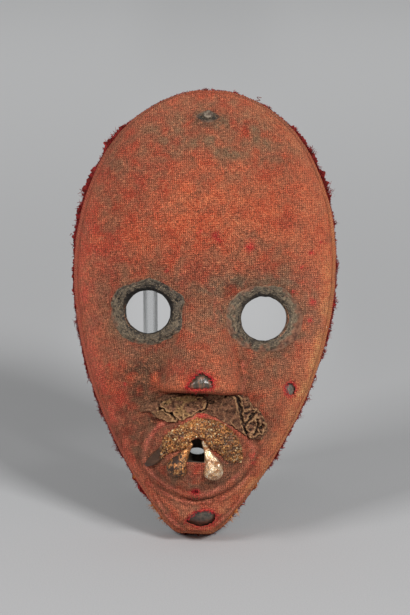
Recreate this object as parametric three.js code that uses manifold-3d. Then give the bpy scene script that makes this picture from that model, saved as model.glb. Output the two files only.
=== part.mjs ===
// A carved wooden face mask covered with red cloth, leaning back on a clear stand.
//
// The mask is drawn in its own frame: u runs across the face, v runs up it from the
// chin, and depth runs forward from the plane of its back rim. In three.js terms that
// is x = u, y = -depth, z = v, in millimetres. Two nested groups then turn the mask a
// little in its own plane and lean it back. The finished part stands on z = 0.

import * as THREE from 'three';
import { mergeVertices } from 'three/addons/utils/BufferGeometryUtils.js';
import Module from 'manifold-3d';

const wasm = await Module();
wasm.setup();

// ---- Driving dimensions ---------------------------------------------------------

const HEIGHT = 240; // chin to crown, along the back rim
const HALF_WIDTH = 70.8; // at the temples
const TEMPLE = 143; // height of the widest place
const CHEEK_PULL = 67; // where the cheek line starts to turn in
const CHIN_PULL = 14; // how full the outline is beside the chin
const CHIN_FLAT = 8; // half the flat that the chin stands on
const CROWN_FULLNESS = 2.1; // 2 is an ellipse, more is squarer
const CENTRE = 120; // height that the outline is scaled about

const FRONT_WIDE = 0.945; // front edge against back rim, across
const FRONT_TALL = 0.971; // front edge against back rim, up and down
const EDGE_DEPTH = 19; // depth of the front edge
const DOME_DEPTH = 25; // how far the face domes beyond it

const WALL = 8; // thickness of the carved wood
const CLOTH_GAP = 0.3;
const CLOTH_THICK = 1.2;
const CLOTH_FACE = CLOTH_GAP + CLOTH_THICK;
const PIECE_GAP = CLOTH_FACE + 0.3; // where anything that lies on the cloth begins
const CLOTH_HEM = 4.5; // depth at which the cloth stops, short of the back rim

const LEAN = THREE.MathUtils.degToRad(16);
const TURN = THREE.MathUtils.degToRad(2.4);

const FOREHEAD = { v: 184, wide: 38, tall: 32, rise: 8 };
const SOCKET = { wide: 19, tall: 16, sink: 4 };
const NOSE = { top: 133, base: 80.4, rise: 15, slim: 8, broad: 22.5, step: 2.6 };
const LIPS = { u: 0.7, v: 43.8, wide: 29.5, tall: 21.5, rise: 11 };
const MOUTH_LINE = { v: 42.6, arch: 8, wide: 24, tall: 3.2, sink: 4 };
const CHIN = { u: 2, v: 10, wide: 13, tall: 7, rise: 3.5 };

const EYES = {
  left: { u: -29.1, v: 119.3, wide: 12.0, tall: 11.4, rimWide: 20.2, rimTall: 17.9, rimRise: 2.6 },
  right: { u: 32.0, v: 118.2, wide: 12.2, tall: 11.8, rimWide: 20.4, rimTall: 18.4, rimRise: 1.6 },
};
const EYE_ROOM = { wood: 0.3, cloth: 0.8 }; // how much wider those two are cut

const NAIL = { u: -1.8, v: 224, head: 2.7, rise: 1.5, shank: 1.0, length: 6, room: 0.35 };
const TEETH = {
  left: { root: [-3.1, 52], tip: [-11, 38.7], bulb: 5.4, length: 19.5 },
  right: { root: [3.1, 53], tip: [10, 38.3], bulb: 5.6, length: 20.5 },
};
const TOOTH_LIFT = 5.6; // depth of a tooth's bulb in front of the cloth
const TOOTH_SINK = 4.5; // how far its root lies behind the lip
const TOOTH_ROOM = 0.4;

const POST = { u: -24.5, wide: 8, deep: 8, top: 216 };
const PLATE = { wide: 56, deep: 60, thick: 5, u: -3, front: 62 };
const STAND_GAP = 0.3;

const BLACKENED_WOOD = { color: 0x2b2420, roughness: 0.6, metalness: 0 };
const RED_CLOTH = { color: 0xa5473a, roughness: 0.95, metalness: 0 };
const RESIN = { color: 0x4d4842, roughness: 0.6, metalness: 0 };
const HIDE = { color: 0x6b5540, roughness: 0.85, metalness: 0 };
const CRUST = { color: 0x8f6a3a, roughness: 0.7, metalness: 0 };
const BRASS = { color: 0xb08a4e, roughness: 0.3, metalness: 1 };
const IRON = { color: 0x5a5148, roughness: 0.5, metalness: 0.8 };
const CLEAR_ACRYLIC = {
  color: 0xf2f6f6, roughness: 0.05, metalness: 0, transparent: true, opacity: 0.25,
};

// ---- The outline ------------------------------------------------------------------

const bump = (x, spread) => Math.exp(-0.5 * (x / spread) ** 2);
const lerp = THREE.MathUtils.lerp;

// Half the width of the back rim at height v: a full round arch above the temples and
// one cubic curve from there to the flat of the chin.
const cheek = new THREE.CubicBezierCurve(
  new THREE.Vector2(HALF_WIDTH, TEMPLE),
  new THREE.Vector2(HALF_WIDTH, CHEEK_PULL),
  new THREE.Vector2(CHIN_PULL, 0),
  new THREE.Vector2(CHIN_FLAT, 0),
);

function halfWidth(v) {
  if (v >= TEMPLE) {
    const up = Math.min((v - TEMPLE) / (HEIGHT - TEMPLE), 1);
    return HALF_WIDTH * (1 - up ** CROWN_FULLNESS) ** (1 / CROWN_FULLNESS);
  }
  let low = 0;
  let high = 1;
  for (let step = 0; step < 40; step += 1) {
    const middle = (low + high) / 2;
    if (cheek.getPoint(middle).y > v) low = middle;
    else high = middle;
  }
  return cheek.getPoint(low).x;
}

// The outline again, by direction from the centre of the face.
const DIRECTIONS = 720;
const reachTable = outlineReach();

function outlineReach() {
  const reach = new Float64Array(DIRECTIONS + 1);
  for (let i = 0; i <= DIRECTIONS; i += 1) {
    const angle = (i / DIRECTIONS) * Math.PI; // 0 is up, pi is down
    let low = 0;
    let high = HEIGHT;
    for (let step = 0; step < 40; step += 1) {
      const middle = (low + high) / 2;
      const v = CENTRE + middle * Math.cos(angle);
      const inside = v > 0 && v < HEIGHT && middle * Math.sin(angle) < halfWidth(v);
      if (inside) low = middle;
      else high = middle;
    }
    reach[i] = low;
  }
  return reach;
}

// 0 at the centre of the face, 1 on an outline that is scaled by wide and tall.
function shareOfOutline(u, v, wide, tall) {
  const across = Math.abs(u) / wide;
  const up = (v - CENTRE) / tall;
  const place = (Math.atan2(across, up) / Math.PI) * DIRECTIONS;
  const index = Math.min(Math.floor(place), DIRECTIONS - 1);
  return Math.hypot(across, up) / lerp(reachTable[index], reachTable[index + 1], place - index);
}

// ---- The face as a depth over (u, v) ------------------------------------------------

function dome(share) {
  return DOME_DEPTH * (1 - Math.min(share, 1) ** 2.3) ** 0.8;
}

function forehead(u, v) {
  return FOREHEAD.rise * bump(u, FOREHEAD.wide) * bump(v - FOREHEAD.v, FOREHEAD.tall);
}

function sockets(u, v) {
  let sink = 0;
  for (const eye of Object.values(EYES)) {
    sink += SOCKET.sink * bump(u - eye.u, SOCKET.wide) * bump(v - eye.v, SOCKET.tall);
  }
  return sink;
}

// A wedge that widens and flattens downwards and ends in a straight, nearly square step.
function nose(u, v) {
  const down = THREE.MathUtils.clamp((NOSE.top - v) / (NOSE.top - NOSE.base), 0, 1);
  const half = lerp(NOSE.slim, NOSE.broad, down);
  const across = Math.min(Math.abs(u) / half, 1);
  const section = (1 - across ** lerp(1.8, 4, down)) ** lerp(1.5, 1, down);
  const step = THREE.MathUtils.smoothstep(v, NOSE.base - NOSE.step, NOSE.base);
  return NOSE.rise * down ** 1.25 * section * step;
}

// A pointed oval mound, parted by an arched line.
function lips(u, v) {
  const across = Math.abs(u - LIPS.u) / LIPS.wide;
  const up = Math.abs(v - LIPS.v) / LIPS.tall;
  const inside = Math.max(1 - across ** 1.4 - up ** 1.9, 0);
  const line = MOUTH_LINE.v + MOUTH_LINE.arch * Math.max(1 - Math.abs(u - LIPS.u) / MOUTH_LINE.wide, 0);
  const parting = bump(v - line, MOUTH_LINE.tall) * bump(u - LIPS.u, MOUTH_LINE.wide / 2);
  return LIPS.rise * inside ** 0.55 - MOUTH_LINE.sink * parting;
}

function chin(u, v) {
  return CHIN.rise * bump(u - CHIN.u, CHIN.wide) * bump(v - CHIN.v, CHIN.tall);
}

function faceDepth(u, v) {
  const share = shareOfOutline(u, v, FRONT_WIDE, FRONT_TALL);
  const relief = forehead(u, v) - sockets(u, v) + nose(u, v) + lips(u, v) + chin(u, v);
  const fade = THREE.MathUtils.smoothstep(1 - share, 0, 0.08);
  return EDGE_DEPTH + dome(share) + relief * fade;
}

// The hollow follows the dome and the forehead only.
const HOLLOW = {
  wide: (HALF_WIDTH - WALL) / HALF_WIDTH,
  tall: (HEIGHT / 2 - WALL) / (HEIGHT / 2),
  edge: EDGE_DEPTH - WALL,
};

function hollowDepth(u, v) {
  const share = shareOfOutline(u, v, HOLLOW.wide * FRONT_WIDE, HOLLOW.tall * FRONT_TALL);
  return HOLLOW.edge + dome(share) + 0.8 * forehead(u, v) - 0.6 * sockets(u, v);
}

// ---- Closed solids over the outline -------------------------------------------------

// Runs of equal steps, given as [from, to, steps].
function spans(...runs) {
  const values = [runs[0][0]];
  for (const [from, to, steps] of runs) {
    for (let i = 1; i <= steps; i += 1) values.push(lerp(from, to, i / steps));
  }
  return values;
}

const TOP_ROW = 239.5;
const FINE_ROWS = spans(
  [0, 1.5, 1], [1.5, 22, 4], [22, 62, 8], [62, 75.5, 2], [75.5, 77.4, 1], [77.4, 80.8, 2],
  [80.8, 131, 6], [131, 200, 5], [200, 232, 3], [232, 238, 2], [238, TOP_ROW, 1],
);
const COARSE_ROWS = spans(
  [0, 1.5, 1], [1.5, 22, 3], [22, 200, 14], [200, 232, 4], [232, 238, 2], [238, TOP_ROW, 1],
);
const FINE_COLUMNS = [0, 0.09, 0.18, 0.27, 0.35, 0.43, 0.55, 0.69, 0.83, 0.94, 1];
const COARSE_COLUMNS = [0, 0.14, 0.28, 0.43, 0.6, 0.78, 0.92, 1];

const bothSides = (half) => [...half.slice(1).reverse().map((x) => -x), ...half];

// Unit normal of a depth function, as [across, up, forward].
function normalOf(depthAt, u, v) {
  const h = 0.5;
  const across = (depthAt(u + h, v) - depthAt(u - h, v)) / (2 * h);
  const up = (depthAt(u, v + h) - depthAt(u, v - h)) / (2 * h);
  const size = Math.hypot(across, up, 1);
  return [-across / size, -up / size, 1 / size];
}

// One closed solid: a front of rows and columns over the scaled outline, side walls
// that run out to the back outline, and a flat back. Grown moves every wall outwards.
function outlineSolid({ rows, columns, front, back, depthAt, edge, backDepth, grown }) {
  const points = [];
  const faces = [];
  const add = (u, v, depth) => points.push(new THREE.Vector3(u, -depth, v)) - 1;
  const quad = (a, b, c, d) => faces.push(a, b, c, a, c, d);
  const acrossAll = bothSides(columns);
  const last = { row: rows.length - 1, column: acrossAll.length - 1 };

  const flat = rows.map((row) => acrossAll.map((share) => [share * halfWidth(row), row - CENTRE]));

  // The loop of the outline, anticlockwise seen from the front.
  const loop = [];
  for (let c = 0; c < last.column; c += 1) loop.push([0, c]);
  for (let r = 0; r < last.row; r += 1) loop.push([r, last.column]);
  for (let c = last.column; c > 0; c -= 1) loop.push([last.row, c]);
  for (let r = last.row; r > 0; r -= 1) loop.push([r, 0]);
  const outward = loop.map((_, i) => {
    const [before, after] = [loop.at(i - 1), loop[(i + 1) % loop.length]];
    const [a, b] = [flat[before[0]][before[1]], flat[after[0]][after[1]]];
    const size = Math.hypot(b[0] - a[0], b[1] - a[1]);
    return [(b[1] - a[1]) / size, -(b[0] - a[0]) / size];
  });

  const grid = flat.map((row) => row.map(([across, up]) => {
    const [u, v] = [across * front.wide, CENTRE + up * front.tall];
    const [nu, nv, nd] = normalOf(depthAt, u, v);
    return add(u + grown * nu, v + grown * nv, depthAt(u, v) + grown * nd);
  }));
  loop.forEach(([r, c], i) => {
    const [across, up] = flat[r][c];
    points[grid[r][c]].set(
      across * front.wide + 0.72 * grown * outward[i][0],
      -(edge + 0.72 * grown),
      CENTRE + up * front.tall + 0.72 * grown * outward[i][1],
    );
  });
  for (let r = 0; r < last.row; r += 1) {
    for (let c = 0; c < last.column; c += 1) {
      quad(grid[r][c], grid[r][c + 1], grid[r + 1][c + 1], grid[r + 1][c]);
    }
  }

  const ring = (share) => loop.map(([r, c], i) => {
    const [across, up] = flat[r][c];
    const wide = lerp(front.wide, back.wide, share);
    const tall = lerp(front.tall, back.tall, share);
    return add(
      across * wide + grown * outward[i][0],
      CENTRE + up * tall + grown * outward[i][1],
      lerp(edge, backDepth, share),
    );
  });
  const rings = [loop.map(([r, c]) => grid[r][c]), ring(0.45), ring(1)];
  for (let k = 0; k + 1 < rings.length; k += 1) {
    loop.forEach((_, i) => {
      const next = (i + 1) % loop.length;
      quad(rings[k][i], rings[k + 1][i], rings[k + 1][next], rings[k][next]);
    });
  }
  const middle = add(0, CENTRE, backDepth);
  const rim = rings.at(-1);
  rim.forEach((corner, i) => faces.push(middle, rim[(i + 1) % rim.length], corner));

  const geometry = new THREE.BufferGeometry().setFromPoints(points);
  geometry.setIndex(faces);
  return geometry;
}

function maskForm(grown) {
  return outlineSolid({
    rows: FINE_ROWS,
    columns: FINE_COLUMNS,
    front: { wide: FRONT_WIDE, tall: FRONT_TALL },
    back: { wide: 1, tall: 1 },
    depthAt: faceDepth,
    edge: EDGE_DEPTH,
    backDepth: 0,
    grown,
  });
}

function hollowForm() {
  return outlineSolid({
    rows: COARSE_ROWS,
    columns: COARSE_COLUMNS,
    front: { wide: HOLLOW.wide * FRONT_WIDE, tall: HOLLOW.tall * FRONT_TALL },
    back: { wide: HOLLOW.wide, tall: HOLLOW.tall },
    depthAt: hollowDepth,
    edge: HOLLOW.edge,
    backDepth: -1,
    grown: 0,
  });
}

// ---- Joining and cutting --------------------------------------------------------------

function solidOf(geometry) {
  const bare = geometry.clone();
  bare.deleteAttribute('normal');
  bare.deleteAttribute('uv');
  const merged = mergeVertices(bare, 1e-5);
  return new wasm.Manifold(new wasm.Mesh({
    numProp: 3,
    vertProperties: new Float32Array(merged.attributes.position.array),
    triVerts: new Uint32Array(merged.index.array),
  }));
}

function geometryOf(solid) {
  const mesh = solid.getMesh();
  const geometry = new THREE.BufferGeometry();
  geometry.setAttribute('position', new THREE.BufferAttribute(mesh.vertProperties, 3));
  geometry.setIndex(new THREE.BufferAttribute(mesh.triVerts, 1));
  geometry.computeVertexNormals();
  return geometry;
}

const FRONT_OF_ALL = 90; // a depth in front of every piece

// A prism along the depth axis, from one depth to another, over a shape in (u, v).
function prism(shape, from, to, steps = 6) {
  const geometry = new THREE.ExtrudeGeometry(shape, {
    depth: to - from, bevelEnabled: false, curveSegments: steps,
  });
  geometry.rotateX(Math.PI / 2);
  geometry.translate(0, -from, 0);
  return solidOf(geometry);
}

function ellipse(u, v, wide, tall) {
  return new THREE.Shape().absellipse(u, v, wide, tall, 0, 2 * Math.PI);
}

function smoothShape(...corners) {
  const curve = new THREE.CatmullRomCurve3(
    corners.map(([u, v]) => new THREE.Vector3(u, v, 0)), true, 'centripetal',
  );
  const along = curve.getPoints(corners.length * 2).slice(0, -1);
  return new THREE.Shape(along.map((p) => new THREE.Vector2(p.x, p.y)));
}

// ---- Places on the cloth ----------------------------------------------------------------

function onFace(u, v, lift) {
  const [nu, nv, nd] = normalOf(faceDepth, u, v);
  return new THREE.Vector3(u + lift * nu, -(faceDepth(u, v) + lift * nd), v + lift * nv);
}

function turnedToFace(u, v) {
  const [nu, nv, nd] = normalOf(faceDepth, u, v);
  const outwards = new THREE.Vector3(nu, -nd, nv);
  return new THREE.Quaternion().setFromUnitVectors(new THREE.Vector3(0, 1, 0), outwards);
}

const formAt = new Map();

function form(grown) {
  if (!formAt.has(grown)) formAt.set(grown, solidOf(maskForm(grown)));
  return formAt.get(grown);
}

// A sheet of even thickness that lies on the cloth over a shape in (u, v).
function layer(shape, thick) {
  return prism(shape, 0, FRONT_OF_ALL).intersect(form(PIECE_GAP + thick)).subtract(form(PIECE_GAP));
}

// ---- The pieces ---------------------------------------------------------------------------

const MOUTH_RECESS = [[-0.1, 54], [3.1, 52.5], [9, 41], [-10, 41], [-3.5, 52.5]];
const MOUTH_SLOT = { u: -0.2, v: 46, wide: 3.9, tall: 1.9 };
const RECESS_BACK = 33;

function mouthRecess(grown) {
  const shape = new THREE.Shape(MOUTH_RECESS.map(([u, v]) => new THREE.Vector2(
    u + grown * Math.sign(u - MOUTH_SLOT.u), v + grown * Math.sign(v - MOUTH_SLOT.v),
  )));
  return prism(shape, RECESS_BACK - grown, FRONT_OF_ALL);
}

function eyeHoles(room) {
  return Object.values(EYES)
    .map((eye) => prism(ellipse(eye.u, eye.v, eye.wide + room, eye.tall + room), -1, FRONT_OF_ALL, 28))
    .reduce((all, hole) => all.add(hole));
}

function nailGeometry(room) {
  const { head, rise, shank, length } = NAIL;
  const profile = [
    [0, -length - room], [shank + room, -length - room], [shank + room, 0],
    [head, 0], [head * 0.92, rise * 0.55], [head * 0.55, rise], [0, rise],
  ].map(([r, y]) => new THREE.Vector2(r, y));
  const geometry = new THREE.LatheGeometry(profile, 16);
  geometry.applyQuaternion(turnedToFace(NAIL.u, NAIL.v));
  const seat = onFace(NAIL.u, NAIL.v, PIECE_GAP);
  return geometry.translate(seat.x, seat.y, seat.z);
}

function woodShell() {
  const slot = prism(
    ellipse(MOUTH_SLOT.u, MOUTH_SLOT.v, MOUTH_SLOT.wide, MOUTH_SLOT.tall), -1, FRONT_OF_ALL, 10,
  );
  return form(0)
    .subtract(solidOf(hollowForm()))
    .subtract(eyeHoles(EYE_ROOM.wood))
    .subtract(mouthRecess(0))
    .subtract(slot)
    .subtract(solidOf(nailGeometry(NAIL.room)));
}

// Where the cloth is worn through to the wood.
function wornHoles() {
  const places = [
    smoothShape([-5.9, 82], [-1.7, 89], [3.3, 89], [7.4, 82.5], [0.8, 80.8]),
    smoothShape([-4.6, 6.8], [1.8, 11.8], [7.8, 14], [11.2, 11.2], [9.2, 6.8], [1.8, 5.6]),
    ellipse(48, 80.9, 2.2, 2.7),
    ellipse(-0.3, 24.4, 1.7, 1.1),
  ];
  return places
    .map((shape) => prism(shape, 0, FRONT_OF_ALL, 8))
    .reduce((all, hole) => all.add(hole));
}

function clothCover() {
  const wholeWidth = new THREE.Shape([
    new THREE.Vector2(-HEIGHT, -HEIGHT), new THREE.Vector2(HEIGHT, -HEIGHT),
    new THREE.Vector2(HEIGHT, 2 * HEIGHT), new THREE.Vector2(-HEIGHT, 2 * HEIGHT),
  ]);
  return form(CLOTH_FACE)
    .subtract(form(CLOTH_GAP))
    .subtract(prism(wholeWidth, -1, CLOTH_HEM))
    .subtract(eyeHoles(EYE_ROOM.cloth))
    .subtract(mouthRecess(0.4))
    .subtract(wornHoles())
    .subtract(solidOf(nailGeometry(NAIL.room)));
}

// A rounded ring of hardened resin on the cloth round an eye hole.
function eyeRim({ u, v, wide, tall, rimWide, rimTall, rimRise }) {
  const turns = 32;
  const section = [[0, -2], [0, 0.35], [0.12, 0.75], [0.4, 1], [0.7, 0.8], [0.92, 0.4], [1, 0], [1, -2]];
  const points = [];
  for (let i = 0; i < turns; i += 1) {
    const angle = (i / turns) * 2 * Math.PI;
    for (const [out, up] of section) {
      const place = [
        u + lerp(wide, rimWide, out) * Math.cos(angle),
        v + lerp(tall, rimTall, out) * Math.sin(angle),
      ];
      const lift = up < 0 ? 0 : up * rimRise;
      const sunk = up < 0 ? -2 : 0;
      const surface = onFace(...place, 0);
      points.push(new THREE.Vector3(place[0], surface.y - PIECE_GAP - lift - sunk, place[1]));
    }
  }
  const faces = [];
  const size = section.length;
  for (let i = 0; i < turns; i += 1) {
    for (let k = 0; k < size; k += 1) {
      const [a, b] = [i * size + k, i * size + ((k + 1) % size)];
      const [c, d] = [((i + 1) % turns) * size + ((k + 1) % size), ((i + 1) % turns) * size + k];
      faces.push(a, b, c, a, c, d);
    }
  }
  const geometry = new THREE.BufferGeometry().setFromPoints(points);
  geometry.setIndex(faces);
  return solidOf(geometry).subtract(form(PIECE_GAP));
}

function moustache() {
  const strip = smoothShape(
    [-30, 69.4], [-23, 75], [-11, 77], [5, 77.2], [21, 77.6], [28, 73.6], [35.6, 60.7], [32, 55.2],
    [24, 58], [13, 63.8], [3, 66], [-7, 63.8], [-19, 63.4], [-26, 67.4],
  );
  return layer(strip, 2.4);
}

function lipCrust(teeth) {
  const band = smoothShape(
    [-25.5, 42], [-20.5, 51.5], [-10.5, 59.2], [1.5, 62.2], [12.5, 60.2], [23.5, 52.5], [28, 42],
    [18.5, 41.4], [13.5, 46.3], [5.5, 55.6], [-5, 55.4], [-12.5, 46.2], [-17.5, 41.6],
  );
  return layer(band, 1.8).subtract(teeth).subtract(mouthRecess(0.6));
}

// A drop of metal: a slim root in the mouth and a heavy bulb in front of the lip.
function tooth({ root, tip, bulb, length }, room) {
  const profile = [
    [0, -room], [0.3, -room], [0.36, 0.3], [0.5, 0.48], [0.85, 0.62], [1, 0.76], [0.88, 0.88],
    [0.5, 0.965], [0, 1],
  ].map(([r, along], i, all) => new THREE.Vector2(
    i === 0 || i === all.length - 1 ? 0 : r * bulb + room,
    along <= 0 ? along : along * length + (i === all.length - 1 ? room : 0),
  ));
  const geometry = new THREE.LatheGeometry(profile, 18);
  const start = new THREE.Vector3(root[0], -(faceDepth(...root) - TOOTH_SINK), root[1]);
  const end = new THREE.Vector3(tip[0], -(faceDepth(...tip) + TOOTH_LIFT), tip[1]);
  const along = end.clone().sub(start).normalize();
  geometry.applyQuaternion(new THREE.Quaternion().setFromUnitVectors(new THREE.Vector3(0, 1, 0), along));
  return solidOf(geometry.translate(start.x, start.y, start.z));
}

// ---- The assembly ----------------------------------------------------------------------------

function mesh(name, geometry, finish) {
  const piece = new THREE.Mesh(geometry, new THREE.MeshStandardMaterial(finish));
  piece.name = name;
  return piece;
}

const clothRound = form(PIECE_GAP).subtract(mouthRecess(0));
const bothTeeth = Object.values(TEETH)
  .map((one) => tooth(one, TOOTH_ROOM))
  .reduce((all, one) => all.add(one));

const face = new THREE.Group();
const wood = mesh('wood_shell', geometryOf(woodShell()), BLACKENED_WOOD);
face.add(wood);
face.add(mesh('cloth_cover', geometryOf(clothCover()), RED_CLOTH));
face.add(mesh('moustache', geometryOf(moustache()), HIDE));
face.add(mesh('lip_crust', geometryOf(lipCrust(bothTeeth)), CRUST));
face.add(mesh('forehead_nail', nailGeometry(0), IRON));
for (const [side, eye] of Object.entries(EYES)) {
  face.add(mesh(`eye_rim_${side}`, geometryOf(eyeRim(eye)), RESIN));
}
for (const [side, one] of Object.entries(TEETH)) {
  face.add(mesh(`tooth_${side}`, geometryOf(tooth(one, 0).subtract(clothRound)), BRASS));
}
face.rotation.y = TURN;

const leaning = new THREE.Group();
leaning.add(face);
leaning.rotation.x = -LEAN;
leaning.updateMatrixWorld(true);
leaning.position.z = -new THREE.Box3().setFromObject(wood, true).min.z;

// The back of the mask is a plane through the chin, leaning back by LEAN.
function backOfMask(height) {
  return height * Math.tan(LEAN);
}

const post = mesh(
  'stand_post', new THREE.BoxGeometry(POST.wide, POST.deep, POST.top - PLATE.thick), CLEAR_ACRYLIC,
);
post.position.set(
  POST.u,
  backOfMask(POST.top) + STAND_GAP + POST.deep / 2,
  (POST.top + PLATE.thick + STAND_GAP) / 2,
);
const plate = mesh(
  'stand_base', new THREE.BoxGeometry(PLATE.wide, PLATE.deep, PLATE.thick), CLEAR_ACRYLIC,
);
plate.position.set(PLATE.u, PLATE.front + PLATE.deep / 2, PLATE.thick / 2);

const part = new THREE.Group();
part.add(leaning, post, plate);
part.updateMatrixWorld(true);
const whole = new THREE.Box3().setFromObject(part, true);
for (const child of part.children) {
  child.position.x -= (whole.min.x + whole.max.x) / 2;
  child.position.y -= (whole.min.y + whole.max.y) / 2;
}

export default part;
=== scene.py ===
"""A red cloth-covered wooden face mask that leans on a clear stand: the finish of every piece.

Shapes are worked out in the mask's own frame, in millimetres, as in the part's source:
u runs across the face, v runs up it from the chin, and depth runs forward from the plane
of its back rim. to_row() turns them into the shared frame, in metres.
"""

import itertools
import math

import bmesh
import bpy
import numpy as np
from mathutils import Matrix, Vector


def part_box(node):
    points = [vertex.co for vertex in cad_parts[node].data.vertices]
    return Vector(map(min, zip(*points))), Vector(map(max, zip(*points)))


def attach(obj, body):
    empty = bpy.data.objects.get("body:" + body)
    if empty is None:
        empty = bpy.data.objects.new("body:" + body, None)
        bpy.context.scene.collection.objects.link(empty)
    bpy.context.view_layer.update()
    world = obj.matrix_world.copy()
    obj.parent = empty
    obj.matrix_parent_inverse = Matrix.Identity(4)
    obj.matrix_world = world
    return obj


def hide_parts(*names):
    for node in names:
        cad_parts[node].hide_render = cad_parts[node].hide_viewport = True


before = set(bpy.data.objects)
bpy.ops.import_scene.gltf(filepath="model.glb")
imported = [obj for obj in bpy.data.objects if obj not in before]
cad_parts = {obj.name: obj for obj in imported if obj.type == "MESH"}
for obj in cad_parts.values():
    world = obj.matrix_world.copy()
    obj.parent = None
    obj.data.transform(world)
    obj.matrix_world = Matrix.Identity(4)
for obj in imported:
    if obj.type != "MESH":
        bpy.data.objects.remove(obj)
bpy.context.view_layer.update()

# ---- Dimensions, as in the part's source ----

HEIGHT = 240
HALF_WIDTH = 70.8
TEMPLE = 143
CHEEK_PULL = 67
CHIN_PULL = 14
CHIN_FLAT = 8
CROWN_FULLNESS = 2.1
CENTRE = 120

FRONT_WIDE = 0.945
FRONT_TALL = 0.971
EDGE_DEPTH = 19
DOME_DEPTH = 25

WALL = 8
CLOTH_GAP = 0.3
CLOTH_THICK = 1.2
RIB_PITCH = 1.0
STITCH_PITCH = 0.92
HEM_REACH = 66  # millimetres of weave to a radian, round the side wall
CLOTH_FACE = CLOTH_GAP + CLOTH_THICK
CLOTH_HEM = 4.5
RIM_OUT = 0.93  # how far the rim of a layer stands outwards and forward, as a share of its thickness
RIM_FORWARD = 0.37

LEAN = math.radians(16)
TURN = math.radians(2.4)

FOREHEAD = {"v": 184, "wide": 38, "tall": 32, "rise": 8}
SOCKET = {"wide": 19, "tall": 16, "sink": 4}
NOSE = {"top": 133, "base": 80.4, "rise": 15, "slim": 8, "broad": 22.5, "step": 2.6}
LIPS = {"u": 0.7, "v": 43.8, "wide": 29.5, "tall": 21.5, "rise": 11}
MOUTH_LINE = {"v": 42.6, "arch": 8, "wide": 24, "tall": 3.2, "sink": 4}
CHIN = {"u": 2, "v": 10, "wide": 13, "tall": 7, "rise": 3.5}

EYE_LEFT = {"u": -29.1, "v": 119.3, "wide": 12.0, "tall": 11.4, "rim_wide": 20.2, "rim_tall": 17.9}
EYE_RIGHT = {"u": 32.0, "v": 118.2, "wide": 12.2, "tall": 11.8, "rim_wide": 20.4, "rim_tall": 18.4}
EYES = {"left": EYE_LEFT, "right": EYE_RIGHT}
EYE_ROOM_WOOD = 0.3
EYE_ROOM_CLOTH = 0.8

MOUTH_RECESS = [(-0.1, 54), (3.1, 52.5), (9, 41), (-10, 41), (-3.5, 52.5)]
MOUTH_SLOT = {"u": -0.2, "v": 46, "wide": 3.9, "tall": 1.9}
RECESS_BACK = 33

IN_FRONT = 90  # a depth in front of every piece
BEHIND = -9  # a depth behind every piece
MM = 0.001
FLOOR_GAP = 0.0012


# ---- The outline and the face ----


def bump(x, spread):
    return np.exp(-0.5 * (x / spread) ** 2)


def smoothstep(x, low, high):
    t = np.clip((x - low) / (high - low), 0, 1)
    return t * t * (3 - 2 * t)


def lerp(a, b, t):
    return a + (b - a) * t


def cheek_line(count=2000):
    """The cubic curve of the outline from the temple to the flat of the chin, as (u, v)."""
    t = np.linspace(0, 1, count)[:, None]
    corners = np.array([(HALF_WIDTH, TEMPLE), (HALF_WIDTH, CHEEK_PULL), (CHIN_PULL, 0), (CHIN_FLAT, 0)])
    weights = np.hstack([(1 - t) ** 3, 3 * t * (1 - t) ** 2, 3 * t * t * (1 - t), t**3])
    return weights @ corners


CHEEK = cheek_line()


def half_width(v):
    """Half the width of the back rim at height v."""
    up = np.clip((v - TEMPLE) / (HEIGHT - TEMPLE), 0, 1)
    upper = HALF_WIDTH * (1 - up**CROWN_FULLNESS) ** (1 / CROWN_FULLNESS)
    lower = np.interp(v, CHEEK[::-1, 1], CHEEK[::-1, 0])
    return np.where(v >= TEMPLE, upper, lower)


def outline_by_direction():
    """The outline's reach from its centre, by direction: 0 is up and pi is down."""
    turn = np.linspace(0, math.pi / 2, 2000)
    across, up = np.sin(turn) ** (2 / CROWN_FULLNESS), np.cos(turn) ** (2 / CROWN_FULLNESS)
    upper = np.stack([HALF_WIDTH * across, TEMPLE + (HEIGHT - TEMPLE) * up], axis=1)
    flat = np.stack([np.linspace(CHIN_FLAT, 0, 50), np.zeros(50)], axis=1)
    line = np.vstack([upper, CHEEK, flat])
    up = line[:, 1] - CENTRE
    return np.arctan2(line[:, 0], up), np.hypot(line[:, 0], up)


DIRECTIONS, REACHES = outline_by_direction()


def share_of_outline(u, v, wide, tall):
    """0 at the centre of the face, 1 on the outline scaled by wide and tall."""
    across, up = np.abs(u) / wide, (v - CENTRE) / tall
    return np.hypot(across, up) / np.interp(np.arctan2(across, up), DIRECTIONS, REACHES)


def dome(share):
    return DOME_DEPTH * (1 - np.clip(share, 0, 1) ** 2.3) ** 0.8


def forehead(u, v):
    return FOREHEAD["rise"] * bump(u, FOREHEAD["wide"]) * bump(v - FOREHEAD["v"], FOREHEAD["tall"])


def sockets(u, v):
    return sum(
        SOCKET["sink"] * bump(u - eye["u"], SOCKET["wide"]) * bump(v - eye["v"], SOCKET["tall"])
        for eye in EYES.values()
    )


def nose(u, v):
    down = np.clip((NOSE["top"] - v) / (NOSE["top"] - NOSE["base"]), 0, 1)
    half = lerp(NOSE["slim"], NOSE["broad"], down)
    across = np.clip(np.abs(u) / half, 0, 1)
    section = (1 - across ** lerp(1.8, 4, down)) ** lerp(1.5, 1, down)
    step = smoothstep(v, NOSE["base"] - NOSE["step"], NOSE["base"])
    return NOSE["rise"] * down**1.25 * section * step


def lip_share(u, v):
    """1 in the middle of the mound of the lips, 0 on its pointed outline and outside it."""
    across = np.abs(u - LIPS["u"]) / LIPS["wide"]
    up = np.abs(v - LIPS["v"]) / LIPS["tall"]
    return 1 - across**1.4 - up**1.9


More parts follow.
